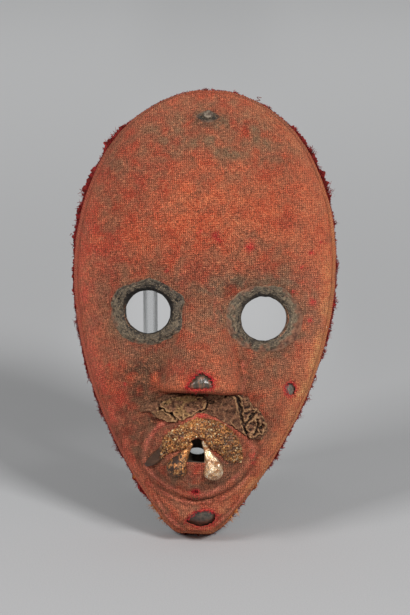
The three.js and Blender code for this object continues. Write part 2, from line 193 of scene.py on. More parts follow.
def lips(u, v):
    aside = np.abs(u - LIPS["u"])
    line = MOUTH_LINE["v"] + MOUTH_LINE["arch"] * np.clip(1 - aside / MOUTH_LINE["wide"], 0, 1)
    parting = bump(v - line, MOUTH_LINE["tall"]) * bump(aside, MOUTH_LINE["wide"] / 2)
    mound = np.clip(lip_share(u, v), 0, 1) ** 0.55
    return LIPS["rise"] * mound - MOUTH_LINE["sink"] * parting


def chin(u, v):
    return CHIN["rise"] * bump(u - CHIN["u"], CHIN["wide"]) * bump(v - CHIN["v"], CHIN["tall"])


def face_depth(u, v):
    share = share_of_outline(u, v, FRONT_WIDE, FRONT_TALL)
    relief = forehead(u, v) - sockets(u, v) + nose(u, v) + lips(u, v) + chin(u, v)
    return EDGE_DEPTH + dome(share) + relief * smoothstep(1 - share, 0, 0.08)


HOLLOW_WIDE = (HALF_WIDTH - WALL) / HALF_WIDTH
HOLLOW_TALL = (HEIGHT / 2 - WALL) / (HEIGHT / 2)


def hollow_depth(u, v):
    share = share_of_outline(u, v, HOLLOW_WIDE * FRONT_WIDE, HOLLOW_TALL * FRONT_TALL)
    return EDGE_DEPTH - WALL + dome(share) + 0.8 * forehead(u, v) - 0.6 * sockets(u, v)


def normal_of(depth_at, u, v, h=0.35):
    across = (depth_at(u + h, v) - depth_at(u - h, v)) / (2 * h)
    up = (depth_at(u, v + h) - depth_at(u, v - h)) / (2 * h)
    return np.stack([-across, -up, np.ones_like(up)], axis=-1) / np.sqrt(across**2 + up**2 + 1)[..., None]


def lifted(u, v, amount, depth_at=face_depth):
    """Points that stand off a surface by some amount, along its normal."""
    surface = np.stack([u, v, depth_at(u, v)], axis=-1)
    return surface + np.asarray(amount)[..., None] * normal_of(depth_at, u, v)


# ---- Noise that is the same each run ----


def lattice(i, j, seed):
    n = (i * 374761393 + j * 668265263 + seed * 974634777) & 0xFFFFFFFF
    n = ((n ^ (n >> 13)) * 1274126177) & 0xFFFFFFFF
    return ((n ^ (n >> 16)) & 0xFFFF) / 32767.5 - 1


def noise2(x, y, seed=0):
    """Smooth noise from -1 to 1 with features about one unit wide."""
    i, j = np.floor(x).astype(np.int64), np.floor(y).astype(np.int64)
    fx, fy = x - i, y - j
    fx, fy = fx**3 * (fx * (fx * 6 - 15) + 10), fy**3 * (fy * (fy * 6 - 15) + 10)
    low = lerp(lattice(i, j, seed), lattice(i + 1, j, seed), fx)
    high = lerp(lattice(i, j + 1, seed), lattice(i + 1, j + 1, seed), fx)
    return lerp(low, high, fy)


def noise_round(turn, size, seed, shift=0):
    """Noise by direction, which meets itself after a full turn."""
    return noise2(np.cos(turn) * size + shift, np.sin(turn) * size, seed)


def fractal2(x, y, seed=0, octaves=3):
    return sum(noise2(x * 2**k, y * 2**k, seed + k) / 2**k for k in range(octaves))


# ---- Closed solids over the outline ----

CROWN_GAP = 0.5  # how far the last row stays under the crown, where the outline has no width
LEAST_STEP = 0.12


def spaced_rows(step, rim_step):
    """Heights from the chin to the crown, at most step apart, and rim_step along the outline."""
    rows = [0.0]
    while rows[-1] < HEIGHT - CROWN_GAP:
        v = rows[-1]
        slope = abs(float(half_width(v + 0.05)) - float(half_width(max(v - 0.05, 0)))) / 0.1
        rows.append(v + min(step, max(rim_step / math.hypot(slope, 1), LEAST_STEP)))
    rows[-1] = HEIGHT - CROWN_GAP
    return np.array(rows)


def full_turn(count):
    return np.linspace(0, 2 * math.pi, count, endpoint=False)


def quads(*corners):
    """Faces from four arrays that number the corners of each face."""
    return [tuple(face) for face in np.stack(corners, axis=-1).reshape(-1, 4).tolist()]


def grid_faces(index):
    return quads(index[:-1, :-1], index[:-1, 1:], index[1:, 1:], index[1:, :-1])


def ring_faces(index):
    """Faces between closed rings of points, one ring to a row."""
    on = np.roll(index, -1, axis=1)
    return quads(index[:-1], on[:-1], on[1:], index[1:])


def numbered_grid(rows, columns):
    """The numbers of a grid's points, and those round its edge in order."""
    index = np.arange(rows * columns).reshape(rows, columns)
    return index, np.concatenate([index[0, :-1], index[:-1, -1], index[-1, :0:-1], index[:0:-1, 0]])


def closed_sheet(top, bottom):
    """A closed solid between two grids of points, bottom under top."""
    index, loop = numbered_grid(*top.shape[:2])
    under = loop + index.size
    faces = grid_faces(index) + [face[::-1] for face in grid_faces(index + index.size)]
    faces += quads(loop, under, np.roll(under, -1), np.roll(loop, -1))
    return np.vstack([top.reshape(-1, 3), bottom.reshape(-1, 3)]), faces


def outline_solid(rows, columns, front, back, depth_at, edge, back_depth, grown, rings, hem=None):
    """The points and faces of a front of rows and columns, side walls and a back.

    The walls run to back_depth, or only as far as the depth that hem gives by direction.
    """
    flat_u = columns[None, :] * half_width(rows)[:, None]
    flat_v = np.repeat((rows - CENTRE)[:, None], len(columns), axis=1)
    u, v = flat_u * front[0], CENTRE + flat_v * front[1]
    amount = grown(u, v) if callable(grown) else np.full_like(u, grown)
    points = lifted(u, v, amount, depth_at).reshape(-1, 3)
    index, loop = numbered_grid(*u.shape)
    faces = grid_faces(index)

    around_u, around_v = flat_u.ravel()[loop], flat_v.ravel()[loop]
    ahead_u, ahead_v = (np.roll(a, -1) - np.roll(a, 1) for a in (around_u, around_v))
    long = np.hypot(ahead_u, ahead_v)
    rim = amount.ravel()[loop]
    out_u, out_v = rim * ahead_v / long, -rim * ahead_u / long

    def ring(wide, tall, out, depth):
        return np.stack([
            around_u * wide + out * out_u, CENTRE + around_v * tall + out * out_v, depth + 0 * rim,
        ], axis=1)

    points[loop] = ring(*front, RIM_OUT, edge + RIM_FORWARD * rim)
    last, all_points, count = loop, [points], len(points)
    far = 1 - hem(np.arctan2(around_u, around_v)) / edge if hem else 1.0
    for share in np.arange(1, rings + 1)[:, None] / rings * far:
        wide, tall = lerp(front[0], back[0], share), lerp(front[1], back[1], share)
        all_points.append(ring(wide, tall, 1, lerp(edge, back_depth, share)))
        here = count + np.arange(len(loop))
        faces += quads(last, here, np.roll(here, -1), np.roll(last, -1))
        last, count = here, count + len(loop)
    all_points.append(np.array([[0, CENTRE, float(np.mean(all_points[-1][:, 2]))]]))
    faces += [(count, b, a) for a, b in zip(last.tolist(), np.roll(last, -1).tolist())]
    return np.vstack(all_points), faces


def mask_form(grown, step, back_depth=0.0, rings=6, rim_step=None, hem=None):
    rows = spaced_rows(step, rim_step or 2 * step)
    columns = np.linspace(-1, 1, int(2 * HALF_WIDTH / step))
    front = (FRONT_WIDE, FRONT_TALL)
    return outline_solid(rows, columns, front, (1, 1), face_depth, EDGE_DEPTH, back_depth, grown, rings, hem)


def prism(outline, low, high):
    """A closed prism along the depth axis over a closed outline in (u, v)."""
    outline = np.asarray(outline, float)
    area = np.sum(outline[:, 0] * np.roll(outline[:, 1], -1) - np.roll(outline[:, 0], -1) * outline[:, 1])
    if area < 0:
        outline = outline[::-1]
    n = len(outline)
    points = np.vstack([np.column_stack([outline, np.full(n, d)]) for d in (low, high)])
    faces = [(i, (i + 1) % n, n + (i + 1) % n, n + i) for i in range(n)]
    faces += [tuple(range(n - 1, -1, -1)), tuple(range(n, 2 * n))]
    return points, faces


def ellipse(u, v, wide, tall, count=96):
    turn = full_turn(count)
    return np.stack([u + wide * np.cos(turn), v + tall * np.sin(turn)], axis=1)


def catmull_rom(before, here, after, beyond, per_side):
    """A smooth curve through points: the stretch from each one to the next, in per_side steps."""
    a, b, c, d = (points[:, None, :] for points in (before, here, after, beyond))
    t = np.linspace(0, 1, per_side, endpoint=False)[None, :, None]
    curve = 2 * b + (c - a) * t + (2 * a - 5 * b + 4 * c - d) * t**2 + (3 * b - a - 3 * c + d) * t**3
    return 0.5 * curve.reshape(-1, here.shape[1])


def smooth_loop(corners, per_side=12):
    """A closed, smooth curve through corners."""
    p = np.asarray(corners, float)
    return catmull_rom(np.roll(p, 1, axis=0), p, np.roll(p, -1, axis=0), np.roll(p, -2, axis=0), per_side)


def eye_holes(room):
    """Cutters for the eye holes, wider than the holes themselves by some room."""
    outlines = [ellipse(eye["u"], eye["v"], eye["wide"] + room, eye["tall"] + room) for eye in EYES.values()]
    return [prism(outline, BEHIND, IN_FRONT) for outline in outlines]


# ---- From numbers to Blender objects ----

TO_ROW = np.array(Matrix.Rotation(-LEAN, 3, "X") @ Matrix.Rotation(TURN, 3, "Y"))


def turned(points):
    """(u, v, depth) in millimetres as (x, y, z) in millimetres, before the part is moved."""
    return np.stack([points[:, 0], -points[:, 2], points[:, 1]], axis=1) @ TO_ROW.T


def middle_of_mask():
    return Vector(to_row([(0, CENTRE, 0)])[0])


def place_of_mask():
    """Where the middle of the chin's back edge is, from the wooden shell's box."""
    v = np.concatenate([spaced_rows(0.5, 0.5)] * 2)
    u = half_width(v) * np.repeat([1, -1], len(v) // 2)
    rim = turned(np.stack([u, v, np.zeros(len(v))], axis=1)) * MM
    low, high = (np.array(corner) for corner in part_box("wood_shell"))
    middle = (low[0] + high[0] - rim[:, 0].min() - rim[:, 0].max()) / 2
    return np.array([middle, high[1] - rim[:, 1].max(), low[2] - rim[:, 2].min()])


PLACE = place_of_mask()


def to_row(points):
    return turned(np.asarray(points, float)) * MM + PLACE


def above_floor(points):
    """to_row(), with what would reach under the floor pressed flat just above it."""
    placed = to_row(points)
    low = FLOOR_GAP * np.exp(np.minimum(placed[:, 2] / FLOOR_GAP - 1, 0))
    placed[:, 2] = np.where(placed[:, 2] < FLOOR_GAP, low, placed[:, 2])
    return placed


def in_scene(name, data):
    """A new object with some data, in the scene."""
    obj = bpy.data.objects.new(name, data)
    bpy.context.scene.collection.objects.link(obj)
    return obj


def mesh_of(name, points, faces):
    mesh = bpy.data.meshes.new(name)
    mesh.from_pydata(np.asarray(points).tolist(), [], faces)
    mesh.validate()
    return mesh


def joined(shapes):
    points, faces, count = [], [], 0
    for some_points, some_faces in shapes:
        points.append(some_points)
        faces += [tuple(i + count for i in face) for face in some_faces]
        count += len(some_points)
    return np.vstack(points), faces


def cut(shape, *cutters):
    """Cuts closed shapes out of a closed shape, one after another, all in millimetres."""
    body = in_scene("cut_body", mesh_of("cut_body", *shape))
    tools = [in_scene("cut_tool", mesh_of("cut_tool", *cutter)) for cutter in cutters]
    for tool in tools:
        step = body.modifiers.new("cut", "BOOLEAN")
        step.operation = "DIFFERENCE"
        step.solver = "MANIFOLD"
        step.object = tool
    bpy.context.view_layer.update()
    done = body.evaluated_get(bpy.context.evaluated_depsgraph_get()).to_mesh()
    points = np.empty(len(done.vertices) * 3, np.float32)
    done.vertices.foreach_get("co", points)
    faces = [tuple(face.vertices) for face in done.polygons]
    for one in (body, *tools):
        mesh = one.data
        bpy.data.objects.remove(one)
        bpy.data.meshes.remove(mesh)
    return points.reshape(-1, 3).astype(float), faces


def piece(name, shape, material, nodes=(), smooth=True, place=to_row):
    """Makes an object of a shape's points and faces; it rides on the part's one body."""
    points, faces = shape
    mesh = mesh_of(name, place(points), faces)
    mesh.materials.append(material)
    mesh.shade_smooth() if smooth else mesh.shade_flat()
    obj = in_scene(name, mesh)
    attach(obj, "root")
    if nodes:
        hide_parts(*nodes)
    return obj


def store(obj, name, values, kind="FLOAT"):
    """Keeps a value, vector or colour per point for the material; 0 at the points that get none."""
    field, width = {"FLOAT": ("value", 1), "FLOAT_VECTOR": ("vector", 3), "FLOAT_COLOR": ("color", 4)}[kind]
    padded = np.zeros(len(obj.data.vertices) * width, np.float32)
    padded[: np.size(values)] = np.ravel(values)
    obj.data.attributes.new(name, kind, "POINT").data.foreach_set(field, padded)


# ---- Node trees in short ----


def srgb(r, g, b):
    """A colour given in 0-255 sRGB, as Blender's linear RGBA."""
    def linear(c):
        c /= 255
        return c / 12.92 if c <= 0.04045 else ((c + 0.055) / 1.055) ** 2.4
    return (linear(r), linear(g), linear(b), 1.0)


class Tree:
    """A material's node tree; every call adds a node and returns its output socket."""

    def __init__(self, name):
        self.material = bpy.data.materials.new(name)
        self.material.use_nodes = True
        self.nodes = self.material.node_tree.nodes
        self.nodes.clear()
        self.place = self.add("ShaderNodeTexCoord", out="Object")

    def feed(self, socket, value):
        if isinstance(value, bpy.types.NodeSocket):
            self.material.node_tree.links.new(value, socket)
        else:
            socket.default_value = value

    def add(self, kind, inputs=(), out=0, **settings):
        node = self.nodes.new(kind)
        for key, value in settings.items():
            setattr(node, key, value)
        for key, value in dict(inputs).items():
            self.feed(node.inputs[key], value)
        return node.outputs[out] if node.outputs else None

    def attribute(self, name, out="Fac"):
        return self.add("ShaderNodeAttribute", out=out, attribute_name=name)

    def part(self, vector, k):
        return self.add("ShaderNodeSeparateXYZ", {"Vector": vector}, out=k)

    def scaled(self, vector, x, y, z):
        return self.add("ShaderNodeMapping", {"Vector": vector, "Scale": (x, y, z)})

    def noise(self, scale, detail=2, roughness=0.5, distortion=0, vector=None, out="Fac"):
        values = {"Vector": vector or self.place, "Scale": scale, "Detail": detail, "Roughness": roughness,
                  "Distortion": distortion}
        return self.add("ShaderNodeTexNoise", values, out=out)

    def math(self, operation, a, b=0.0, c=0.0):
        return self.add("ShaderNodeMath", {0: a, 1: b, 2: c}, operation=operation)

    def vector(self, operation, a, b):
        return self.add("ShaderNodeVectorMath", {0: a, 1: b}, operation=operation)

    def plus(self, a, b, share=1.0):
        """a and a share of b."""
        return self.math("MULTIPLY_ADD", b, share, a)

    def span(self, value, low, high, to_low=0.0, to_high=1.0):
        """value from low to high becomes to_low to to_high, smoothly, and stays there outside."""
        values = {"Value": value, "From Min": low, "From Max": high, "To Min": to_low, "To Max": to_high}
        return self.add("ShaderNodeMapRange", values, interpolation_type="SMOOTHSTEP")

    def mix(self, factor, a, b, blend="MIX"):
        settings = {"data_type": "RGBA", "blend_type": blend, "clamp_result": True}
        return self.add("ShaderNodeMix", {0: factor, 6: a, 7: b}, 2, **settings)

    def coats(self, colour, *layers):
        """Lays paints over a colour: (value, low, high, amount at low, amount at high, 0-255 sRGB)."""
        for *span, paint in layers:
            colour = self.mix(self.span(*span), colour, srgb(*paint))
        return colour

    def finish(self, colour, rough, relief=(), **inputs):
        """Ends the tree in one Principled shader; relief is a height, its strength and its depth."""
        shader = self.nodes.new("ShaderNodeBsdfPrincipled")
        inputs.update(Base_Color=colour, Roughness=rough)
        if relief:
            inputs["Normal"] = self.add("ShaderNodeBump", zip(("Height", "Strength", "Distance"), relief))
        for key, value in inputs.items():
            self.feed(shader.inputs[key.replace("_", " ")], value)
        self.add("ShaderNodeOutputMaterial", {"Surface": shader.outputs[0]})
        return self.material


# ---- Round the outline ----

OUTLINE_STEPS = 20001


def round_outline(count):
    """Even steps round the back outline: clock angle, (u, v) and the way outwards."""
    turn = np.linspace(-math.pi, math.pi, OUTLINE_STEPS)
    reach = np.interp(np.abs(turn), DIRECTIONS, REACHES)
    line = np.stack([reach * np.sin(turn), CENTRE + reach * np.cos(turn)], axis=1)
    length = np.concatenate([[0], np.cumsum(np.hypot(*np.diff(line, axis=0).T))])
    at = np.linspace(0, length[-1], count, endpoint=False)
    place = np.stack([np.interp(at, length, line[:, k]) for k in range(2)], axis=1)
    ahead = np.roll(place, -1, axis=0) - np.roll(place, 1, axis=0)
    ahead /= np.linalg.norm(ahead, axis=1)[:, None]
    return np.interp(at, length, turn), place, np.stack([-ahead[:, 1], ahead[:, 0]], axis=1)


def clock(u, v):
    """The direction of a place from the centre of the face: 0 is up, right is positive."""
    return np.arctan2(u, v - CENTRE)


def near_clock(turn, degrees, spread):
    away = np.abs(turn - math.radians(degrees))
    return bump(np.minimum(away, 2 * math.pi - away), math.radians(spread))


def by_clock(turn, places):
    """The sum of some amounts, each near one direction: (degrees by the clock, spread, amount)."""
    return sum(amount * near_clock(turn, at, spread) for at, spread, amount in places)


# Where the hem has drawn back at the crown: (degrees by the clock, spread, millimetres).
BARE = [(-14, 8, 8.0), (11, 5, 7.0), (33, 8, 4.0)]


def hem_depth(turn):
    """How far the cloth's frayed hem stops short of the back."""
    uneven = 1.1 * fractal2(turn * 9, 3.3, 40) + 0.5 * noise2(turn * 45, 0.0, 41)
    return CLOTH_HEM + 0.6 + uneven + by_clock(turn, BARE)


def on_side(place, out, turn, share, lift):
    """Points on the side wall: share 0 is the front edge and 1 the back outline."""
    wide, tall = lerp(FRONT_WIDE, 1, share), lerp(FRONT_TALL, 1, share)
    return np.stack([
        place[:, 0] * wide + lift * out[:, 0],
        CENTRE + (place[:, 1] - CENTRE) * tall + lift * out[:, 1],
        EDGE_DEPTH * (1 - share) * np.ones(len(turn)),
    ], axis=1)


# ---- Threads ----


def unit(vectors):
    return vectors / np.maximum(np.linalg.norm(vectors, axis=-1, keepdims=True), 1e-9)


def threads(roots, ways, lengths, thick, curl, rng, steps=4):
    """Tapered, three-sided threads that bend as they leave their roots, as one shape."""
    n = len(roots)
    ways = unit(ways)
    side = unit(np.cross(ways, rng.normal(size=(n, 3))))
    other = np.cross(ways, side)
    t = np.linspace(0, 1, steps + 1)[None, :, None]
    lengths = np.broadcast_to(lengths, n)[:, None, None]
    phase = rng.uniform(0, 2 * math.pi, (n, 1, 1))
    centre = roots[:, None] + ways[:, None] * lengths * t * (1 - 0.2 * curl * t)
    centre = centre + side[:, None] * curl * lengths * t * t * 0.8
    centre = centre + other[:, None] * curl * lengths * 0.25 * (np.sin(4 * t + phase) - np.sin(phase))
    radius = np.broadcast_to(thick, n)[:, None, None, None] / 2 * (1 - 0.6 * t[..., None])
    turn = np.arange(3) * 2 * math.pi / 3
    ring = side[:, None] * np.cos(turn)[:, None] + other[:, None] * np.sin(turn)[:, None]
    points = (centre[:, :, None] + radius * ring[:, None]).reshape(-1, 3)
    base = np.arange(n)[:, None, None] * 3 * (steps + 1)
    k = np.arange(steps)[None, :, None] * 3
    j = np.arange(3)[None, None, :]
    after = (j + 1) % 3
    faces = quads(base + k + j, base + k + after, base + k + 3 + after, base + k + 3 + j)
    faces += [(a + 2, a + 1, a) for a in base.ravel().tolist()]
    faces += [(a, a + 1, a + 2) for a in (base.ravel() + 3 * steps).tolist()]
    return points, faces


def make_threads(name, shape, dark, bright):
    """Makes a piece of cloth threads, none of which reaches under the floor."""
    tree = Tree(name)
    colour = tree.coats(
        srgb(*dark),
        (tree.noise(420, 3, 0.6), 0.36, 0.64, 0, 1, bright),
        (tree.noise(4200), 0.4, 0.7, 0, 0.35, (168, 96, 72)),
    )
    material = tree.finish(colour, 0.95, Specular_IOR_Level=0.1)
    piece(name, shape, material, place=above_floor)


# ---- Cloth ----


def cloth_material():
    tree = Tree("red_cloth")
    weave = tree.attribute("weave", "Vector")
    wobble = tree.noise(0.09, vector=weave, out="Color")
    swayed = tree.vector("ADD", weave, tree.vector("MULTIPLY", wobble, (1.8, 1.8, 0)))
    loops = tree.vector("MULTIPLY", swayed, (2 * math.pi / RIB_PITCH, 2 * math.pi / STITCH_PITCH, 0))
    rib = tree.math("SINE", tree.part(loops, 0))
    stitch = tree.math("SINE", tree.plus(tree.part(loops, 1), rib, 1.3))
    knit = tree.plus(tree.math("MULTIPLY", rib, 0.35), stitch, 0.5)
    knit = tree.plus(knit, tree.span(tree.noise(1500, 2, 0.7), 0.32, 0.68, -0.8, 0.8))
    fibres = tree.noise(1.9, 3, 0.65, 0, tree.scaled(swayed, 1, 0.4, 1))
    mottle = tree.noise(130, 4, 0.6, 0.4)
    speck = tree.noise(520, 3, 0.6)
    colour = tree.coats(
        tree.attribute("tint", "Color"),
        (mottle, 0.40, 0.68, 0, 0.5, (128, 100, 76)),
        (mottle, 0.30, 0.48, 0.4, 0, (168, 58, 42)),
        (speck, 0.52, 0.68, 0, 0.55, (96, 62, 46)),
        (speck, 0.33, 0.47, 0.4, 0, (206, 128, 92)),
    )
    # Painted light and shade of the knit: raised loops are made lighter and the sunken gaps between them
    # darker.
    lit_loops = tree.mix(1.0, colour, (2.15, 2.15, 2.05, 1.0), "MULTIPLY")
    shaded_gaps = tree.mix(1.0, colour, (0.30, 0.24, 0.25, 1.0), "MULTIPLY")
    colour = tree.mix(tree.span(knit, 0.0, 1.25), colour, lit_loops)
    colour = tree.mix(tree.span(knit, -1.25, 0.05, 1.0, 0.0), colour, shaded_gaps)
    colour = tree.coats(colour, (fibres, 0.52, 0.74, 0, 0.22, (226, 144, 104)))
    return tree.finish(
        colour, 0.95, (tree.plus(knit, fibres, 0.6), 0.8, 0.0005), Specular_IOR_Level=0.12,
        Sheen_Weight=0.3, Sheen_Roughness=0.35, Sheen_Tint=srgb(240, 150, 120),
    )


# Patches on the cloth: (u, v, wide, tall, amount).
SOIL = [
    (4, 214, 38, 17, 0.85), (0, 230, 22, 5, 0.7), (-50, 200, 8, 12, 0.6), (28, 214, 16, 12, 0.5),
    (2, 126, 8, 14, 0.55), (36, 94, 13, 12, 0.5), (-30, 180, 14, 6, 0.3), (-50, 180, 8, 9, 0.6),
    (-25, 226, 16, 6, 0.7), (18, 228, 12, 4, 0.6), (34, 160, 18, 10, 0.15), (42, 66, 12, 14, 0.5),
    (34, 48, 10, 12, 0.2), (2, 15, 14, 8, 0.2), (56, 184, 7, 12, 0.25), (34, 140, 22, 4, 0.4),
    (-29, 139, 20, 3.5, 0.45), (54, 116, 6, 12, 0.2), (-52, 118, 5, 14, 0.3), (8, 112, 6, 14, 0.3),
    (20, 196, 12, 10, 0.4), (14, 112, 8, 14, 0.4), (30, 156, 14, 10, 0.35), (-12, 196, 10, 6, 0.3),
    (-30, 98, 16, 4, 0.3), (18, 22, 8, 8, 0.35),
]
# Partly paler, rubbed cloth and partly painted light: highlights along the nose's lower edges and lighter
# patches on the right side and lower face, where the light falls.
PALE_AND_LIT = [
    (6, 183, 28, 7, 0.9), (-52, 102, 9, 11, 0.4), (24, 42, 7, 10, 0.7), (36, 58, 8, 10, 0.45),
    (14, 110, 8, 16, 0.5), (-2, 118, 7, 12, 0.35), (4, 194, 16, 6, 0.35), (-10, 22, 9, 5, 0.8),
    (4, 6, 14, 5, 0.7), (-14, 160, 34, 14, 0.35), (-18.5, 79.8, 5, 1.5, 1.3), (19, 82, 4, 3.5, 1.3),
    (64, 130, 6, 40, 0.8), (46, 176, 14, 16, 0.6), (58, 96, 8, 34, 0.9), (0, 82.6, 22, 2.0, 1.1),
    (-19, 78.6, 4, 1.2, 1.5), (40, 34, 12, 10, 0.5), (22, 26, 10, 8, 0.8), (42, 70, 10, 14, 0.4),
    (30, 22, 7, 12, 0.9), (38, 94, 12, 10, 0.4), (20, 84, 3, 6, 0.9), (10, 100, 8, 14, 0.5),
    (30, 168, 24, 14, 0.75), (38, 42, 8, 12, 0.7), (13, 72, 8, 5, 0.8), (-40, 92, 12, 8, 0.25),
    (18, 100, 6, 16, 0.4),
]
CRIMSON = [
    (-56, 160, 12, 34, 0.65), (-62, 110, 8, 30, 0.75), (-54, 84, 7, 20, 0.75), (-42, 60, 7, 16, 0.7),
    (-36, 36, 6, 12, 0.6), (-28, 100, 10, 6, 0.3), (-44, 182, 14, 10, 0.5), (12, 66, 14, 2.5, 0.6),
    (-22, 53, 5, 7, 0.5), (50, 200, 10, 10, 0.25), (-16, 22, 10, 4, 0.5), (22, 28, 10, 4, 0.5),
    (-14, 134, 30, 3, 0.5), (0, 24, 7, 3, 0.9), (0, 37, 3.2, 4.5, 0.9), (-6, 88, 10, 5, 0.35),
    (-24, 78, 4, 3, 0.5), (28, 80, 6, 4, 0.3),
]
# Partly brown grime and partly painted shade: under and beside the nose, in the hollow of the left cheek and
# round the lips and teeth.
GRIME_AND_SHADE = [
    (-29, 80, 6.5, 12, 1.6), (-23, 87, 4.5, 6, 1.4), (-10, 96, 8, 6, 0.45), (-37, 50, 8, 10, 1.6),
    (-31, 58, 13, 11, 1.2), (-36, 46, 8, 12, 1.1), (30, 66, 12, 8, 0.5), (33, 75, 7, 6, 0.5),
    (-50, 172, 10, 10, 0.3), (0, 31, 22, 4.5, 0.15), (29, 88, 6, 10, 0.4), (-26, 22, 7, 7, 0.6),
    (-18, 104, 4, 12, 0.4), (0, 76, 24, 1.5, 0.9), (-18, 36, 7, 7, 0.8), (26, 38, 6, 7, 0.3),
    (36, 60, 10, 10, 0.45), (-24, 54, 7, 7, 0.5), (22, 50, 5, 8, 0.4), (-52, 70, 4, 14, 0.2),
    (6, 46, 24, 18, 0.15), (16, 41, 7, 5, 1.1), (9, 34, 6, 3, 0.7), (-20, 40, 5, 6, 1.0),
    (-12, 31.5, 6, 3, 0.7), (21, 48, 4, 4, 0.5), (-37, 84, 6, 9, 0.8), (-40, 47, 6, 12, 0.9),
]
DUST = [
    (33, 121, 24, 19, 0.95), (44, 128, 13, 12, 0.8), (22, 133, 18, 7, 0.9), (36, 100, 16, 6, 0.4),
    (-29, 119, 21, 18, 0.8), (-29, 137, 14, 3, 0.55), (-12, 122, 4, 12, 0.4), (0, 30.5, 17, 4.0, 1.2),
    (0, 16, 22, 9, 0.35), (-6, 46, 30, 16, 0.35),
]
PATINA = [
    (-2.4, 223.5, 5.5, 3.6, 0.9), (0, 30.5, 15, 3.6, 0.35), (14, 34, 8, 5, 0.8), (8, 38, 5, 5, 0.5),
    (-8, 37, 4, 5, 0.4), (-12, 34, 7, 5, 0.8), (-20, 42, 4, 4, 0.9), (33, 119, 17, 15, 0.9),
    (44, 116, 5, 16, 0.9), (40, 133, 12, 4, 0.8), (20, 132, 8, 5, 0.8), (-29, 119, 16, 14.5, 0.9),
    (-52, 196, 4, 7, 0.35), (24, 46, 5, 8, 0.5),
]

COATS = [
    (CRIMSON, (158, 44, 42)), (PALE_AND_LIT, (232, 112, 74)), (SOIL, (132, 104, 80)),
    (GRIME_AND_SHADE, (74, 40, 30)), (DUST, (128, 108, 88)), (PATINA, (66, 58, 48)),
]

# Folds of the cloth: the places along each, its width and its height.
LIP_RIDGE = [
    (-28.8, 43), (-27.1, 50.2), (-23.9, 55.5), (-20.5, 59.4), (-12.7, 62.8), (-4.7, 64.8), (8.5, 64.4),
    (19.3, 60), (26.5, 53.4), (30.2, 48), (27.4, 41.5), (23.1, 35.4), (15.3, 28.6), (7.6, 24.4), (-0.4, 23),
    (-7, 23.6), (-16.1, 26.7), (-22, 31), (-27, 36.4), (-28.8, 43),
]
FOLDS = [
    (LIP_RIDGE, 1.15, 1.3),
    ([(-26, 27.5), (-17, 22.6), (-9, 19.4), (-1, 18.4), (8, 19.8)], 0.7, 0.6),
    ([(14, 21), (22, 26), (29, 35)], 0.8, 0.5),
    ([(-14, 12), (-9, 5.4), (0, 3.4), (9, 4.2), (16, 10)], 0.6, 0.6),
    ([(-20, 17), (-13, 8.6), (-8, 5.0)], 0.6, 0.5), ([(12, 7), (20, 14), (27, 24)], 0.7, 0.5),
    ([(-17, 12), (-12, 6.2), (-5, 2.6)], 0.45, 0.4), ([(-22, 21), (-16, 12.6)], 0.5, 0.45),
    ([(22, 94), (23.5, 86), (22.5, 80)], 1.0, 0.5),
]


WORN = {
    "nose": smooth_loop([(-6.3, 80.9), (-2.9, 86.5), (0.1, 88.7), (3.8, 87.3), (7, 82), (0.4, 80.2)]),
    "chin": smooth_loop([
        (-4.6, 7.6), (-0.5, 12.2), (4.3, 14.1), (9.1, 13.6), (11.2, 10.6), (9.5, 7.4), (2.6, 5.2),
    ]),
    "cheek": ellipse(48, 80.9, 2.8, 3.3, 60),
    "lip": ellipse(-0.5, 24.8, 1.7, 1.1, 48),
}

# Places where the cloth has been picked: (u, v, spread, threads).
PICKED = [
    (5.0, 160.7, 1.2, 30), (6.4, 158.4, 0.8, 14), (23, 155.7, 1.6, 12), (-20, 141.3, 0.6, 8),
    (56, 154, 1.0, 9), (58, 128, 1.2, 8), (57, 118, 0.8, 8), (61, 160, 0.6, 6), (29, 45, 0.9, 10),
    (30, 41, 0.6, 6), (-40, 80, 0.6, 5), (51, 146, 0.5, 5), (-3, 163, 0.5, 4), (47, 133, 0.6, 5),
    (-49, 90, 0.5, 5), (2, 66.4, 1.8, 14),
]


def distance_to_line(u, v, line):
    away = np.full(len(u), 1e3)
    for (au, av), (bu, bv) in zip(line, line[1:]):
        along = ((u - au) * (bu - au) + (v - av) * (bv - av)) / ((bu - au) ** 2 + (bv - av) ** 2)
        t = np.clip(along, 0, 1)
        away = np.minimum(away, np.hypot(u - lerp(au, bu, t), v - lerp(av, bv, t)))
    return away


def patches(u, v, places):
    total = np.zeros(len(u))
    for at_u, at_v, wide, tall, amount in places:
        total = np.maximum(total, amount * bump(u - at_u, wide) * bump(v - at_v, tall))
    return total


def dyed(colour, dye, amount):
    """Lays a dye, in 0-255 sRGB, over a colour by an amount for each point."""
    return lerp(colour, np.array(srgb(*dye)), amount[:, None])


def worn_and_lit_rim(colour, u, v, depth):
    """The cloth is paler where it rolls over the rim and down the side: partly real wear and partly painted
    highlight and sheen, with painted light making it lighter on the right, as if lit from there.
    """
    right = smoothstep(u, -50, 30)
    share = share_of_outline(u, v, FRONT_WIDE, FRONT_TALL)
    uneven = smoothstep(fractal2(u / 9, v / 9, 88), -1.1, 0.6)
    worn = smoothstep(share, 0.9, 1.0) * uneven * lerp(0.25, 1.0, smoothstep(-v, -185, -120))
    # Painted light: the edge colour is lighter on the right, where the light falls.
    edge = dyed(np.array(srgb(200, 86, 70)), (250, 142, 92), right)
    colour = lerp(colour, edge, (0.85 * worn)[:, None])
    wall = smoothstep(EDGE_DEPTH - depth, -1.5, 4) * smoothstep(-v, -215, -165)
    grime = np.clip(0.4 + 0.6 * fractal2(u / 7, v / 7, 91), 0, 1)
    # Painted light: the side wall gets a lighter colour to make up for the light it lacks, and is lighter
    # still on the right.
    side = dyed(np.array(srgb(212, 90, 74)), (244, 138, 86), right)
    return lerp(colour, dyed(side, (170, 92, 70), 0.4 * grime), (0.7 * wall)[:, None])


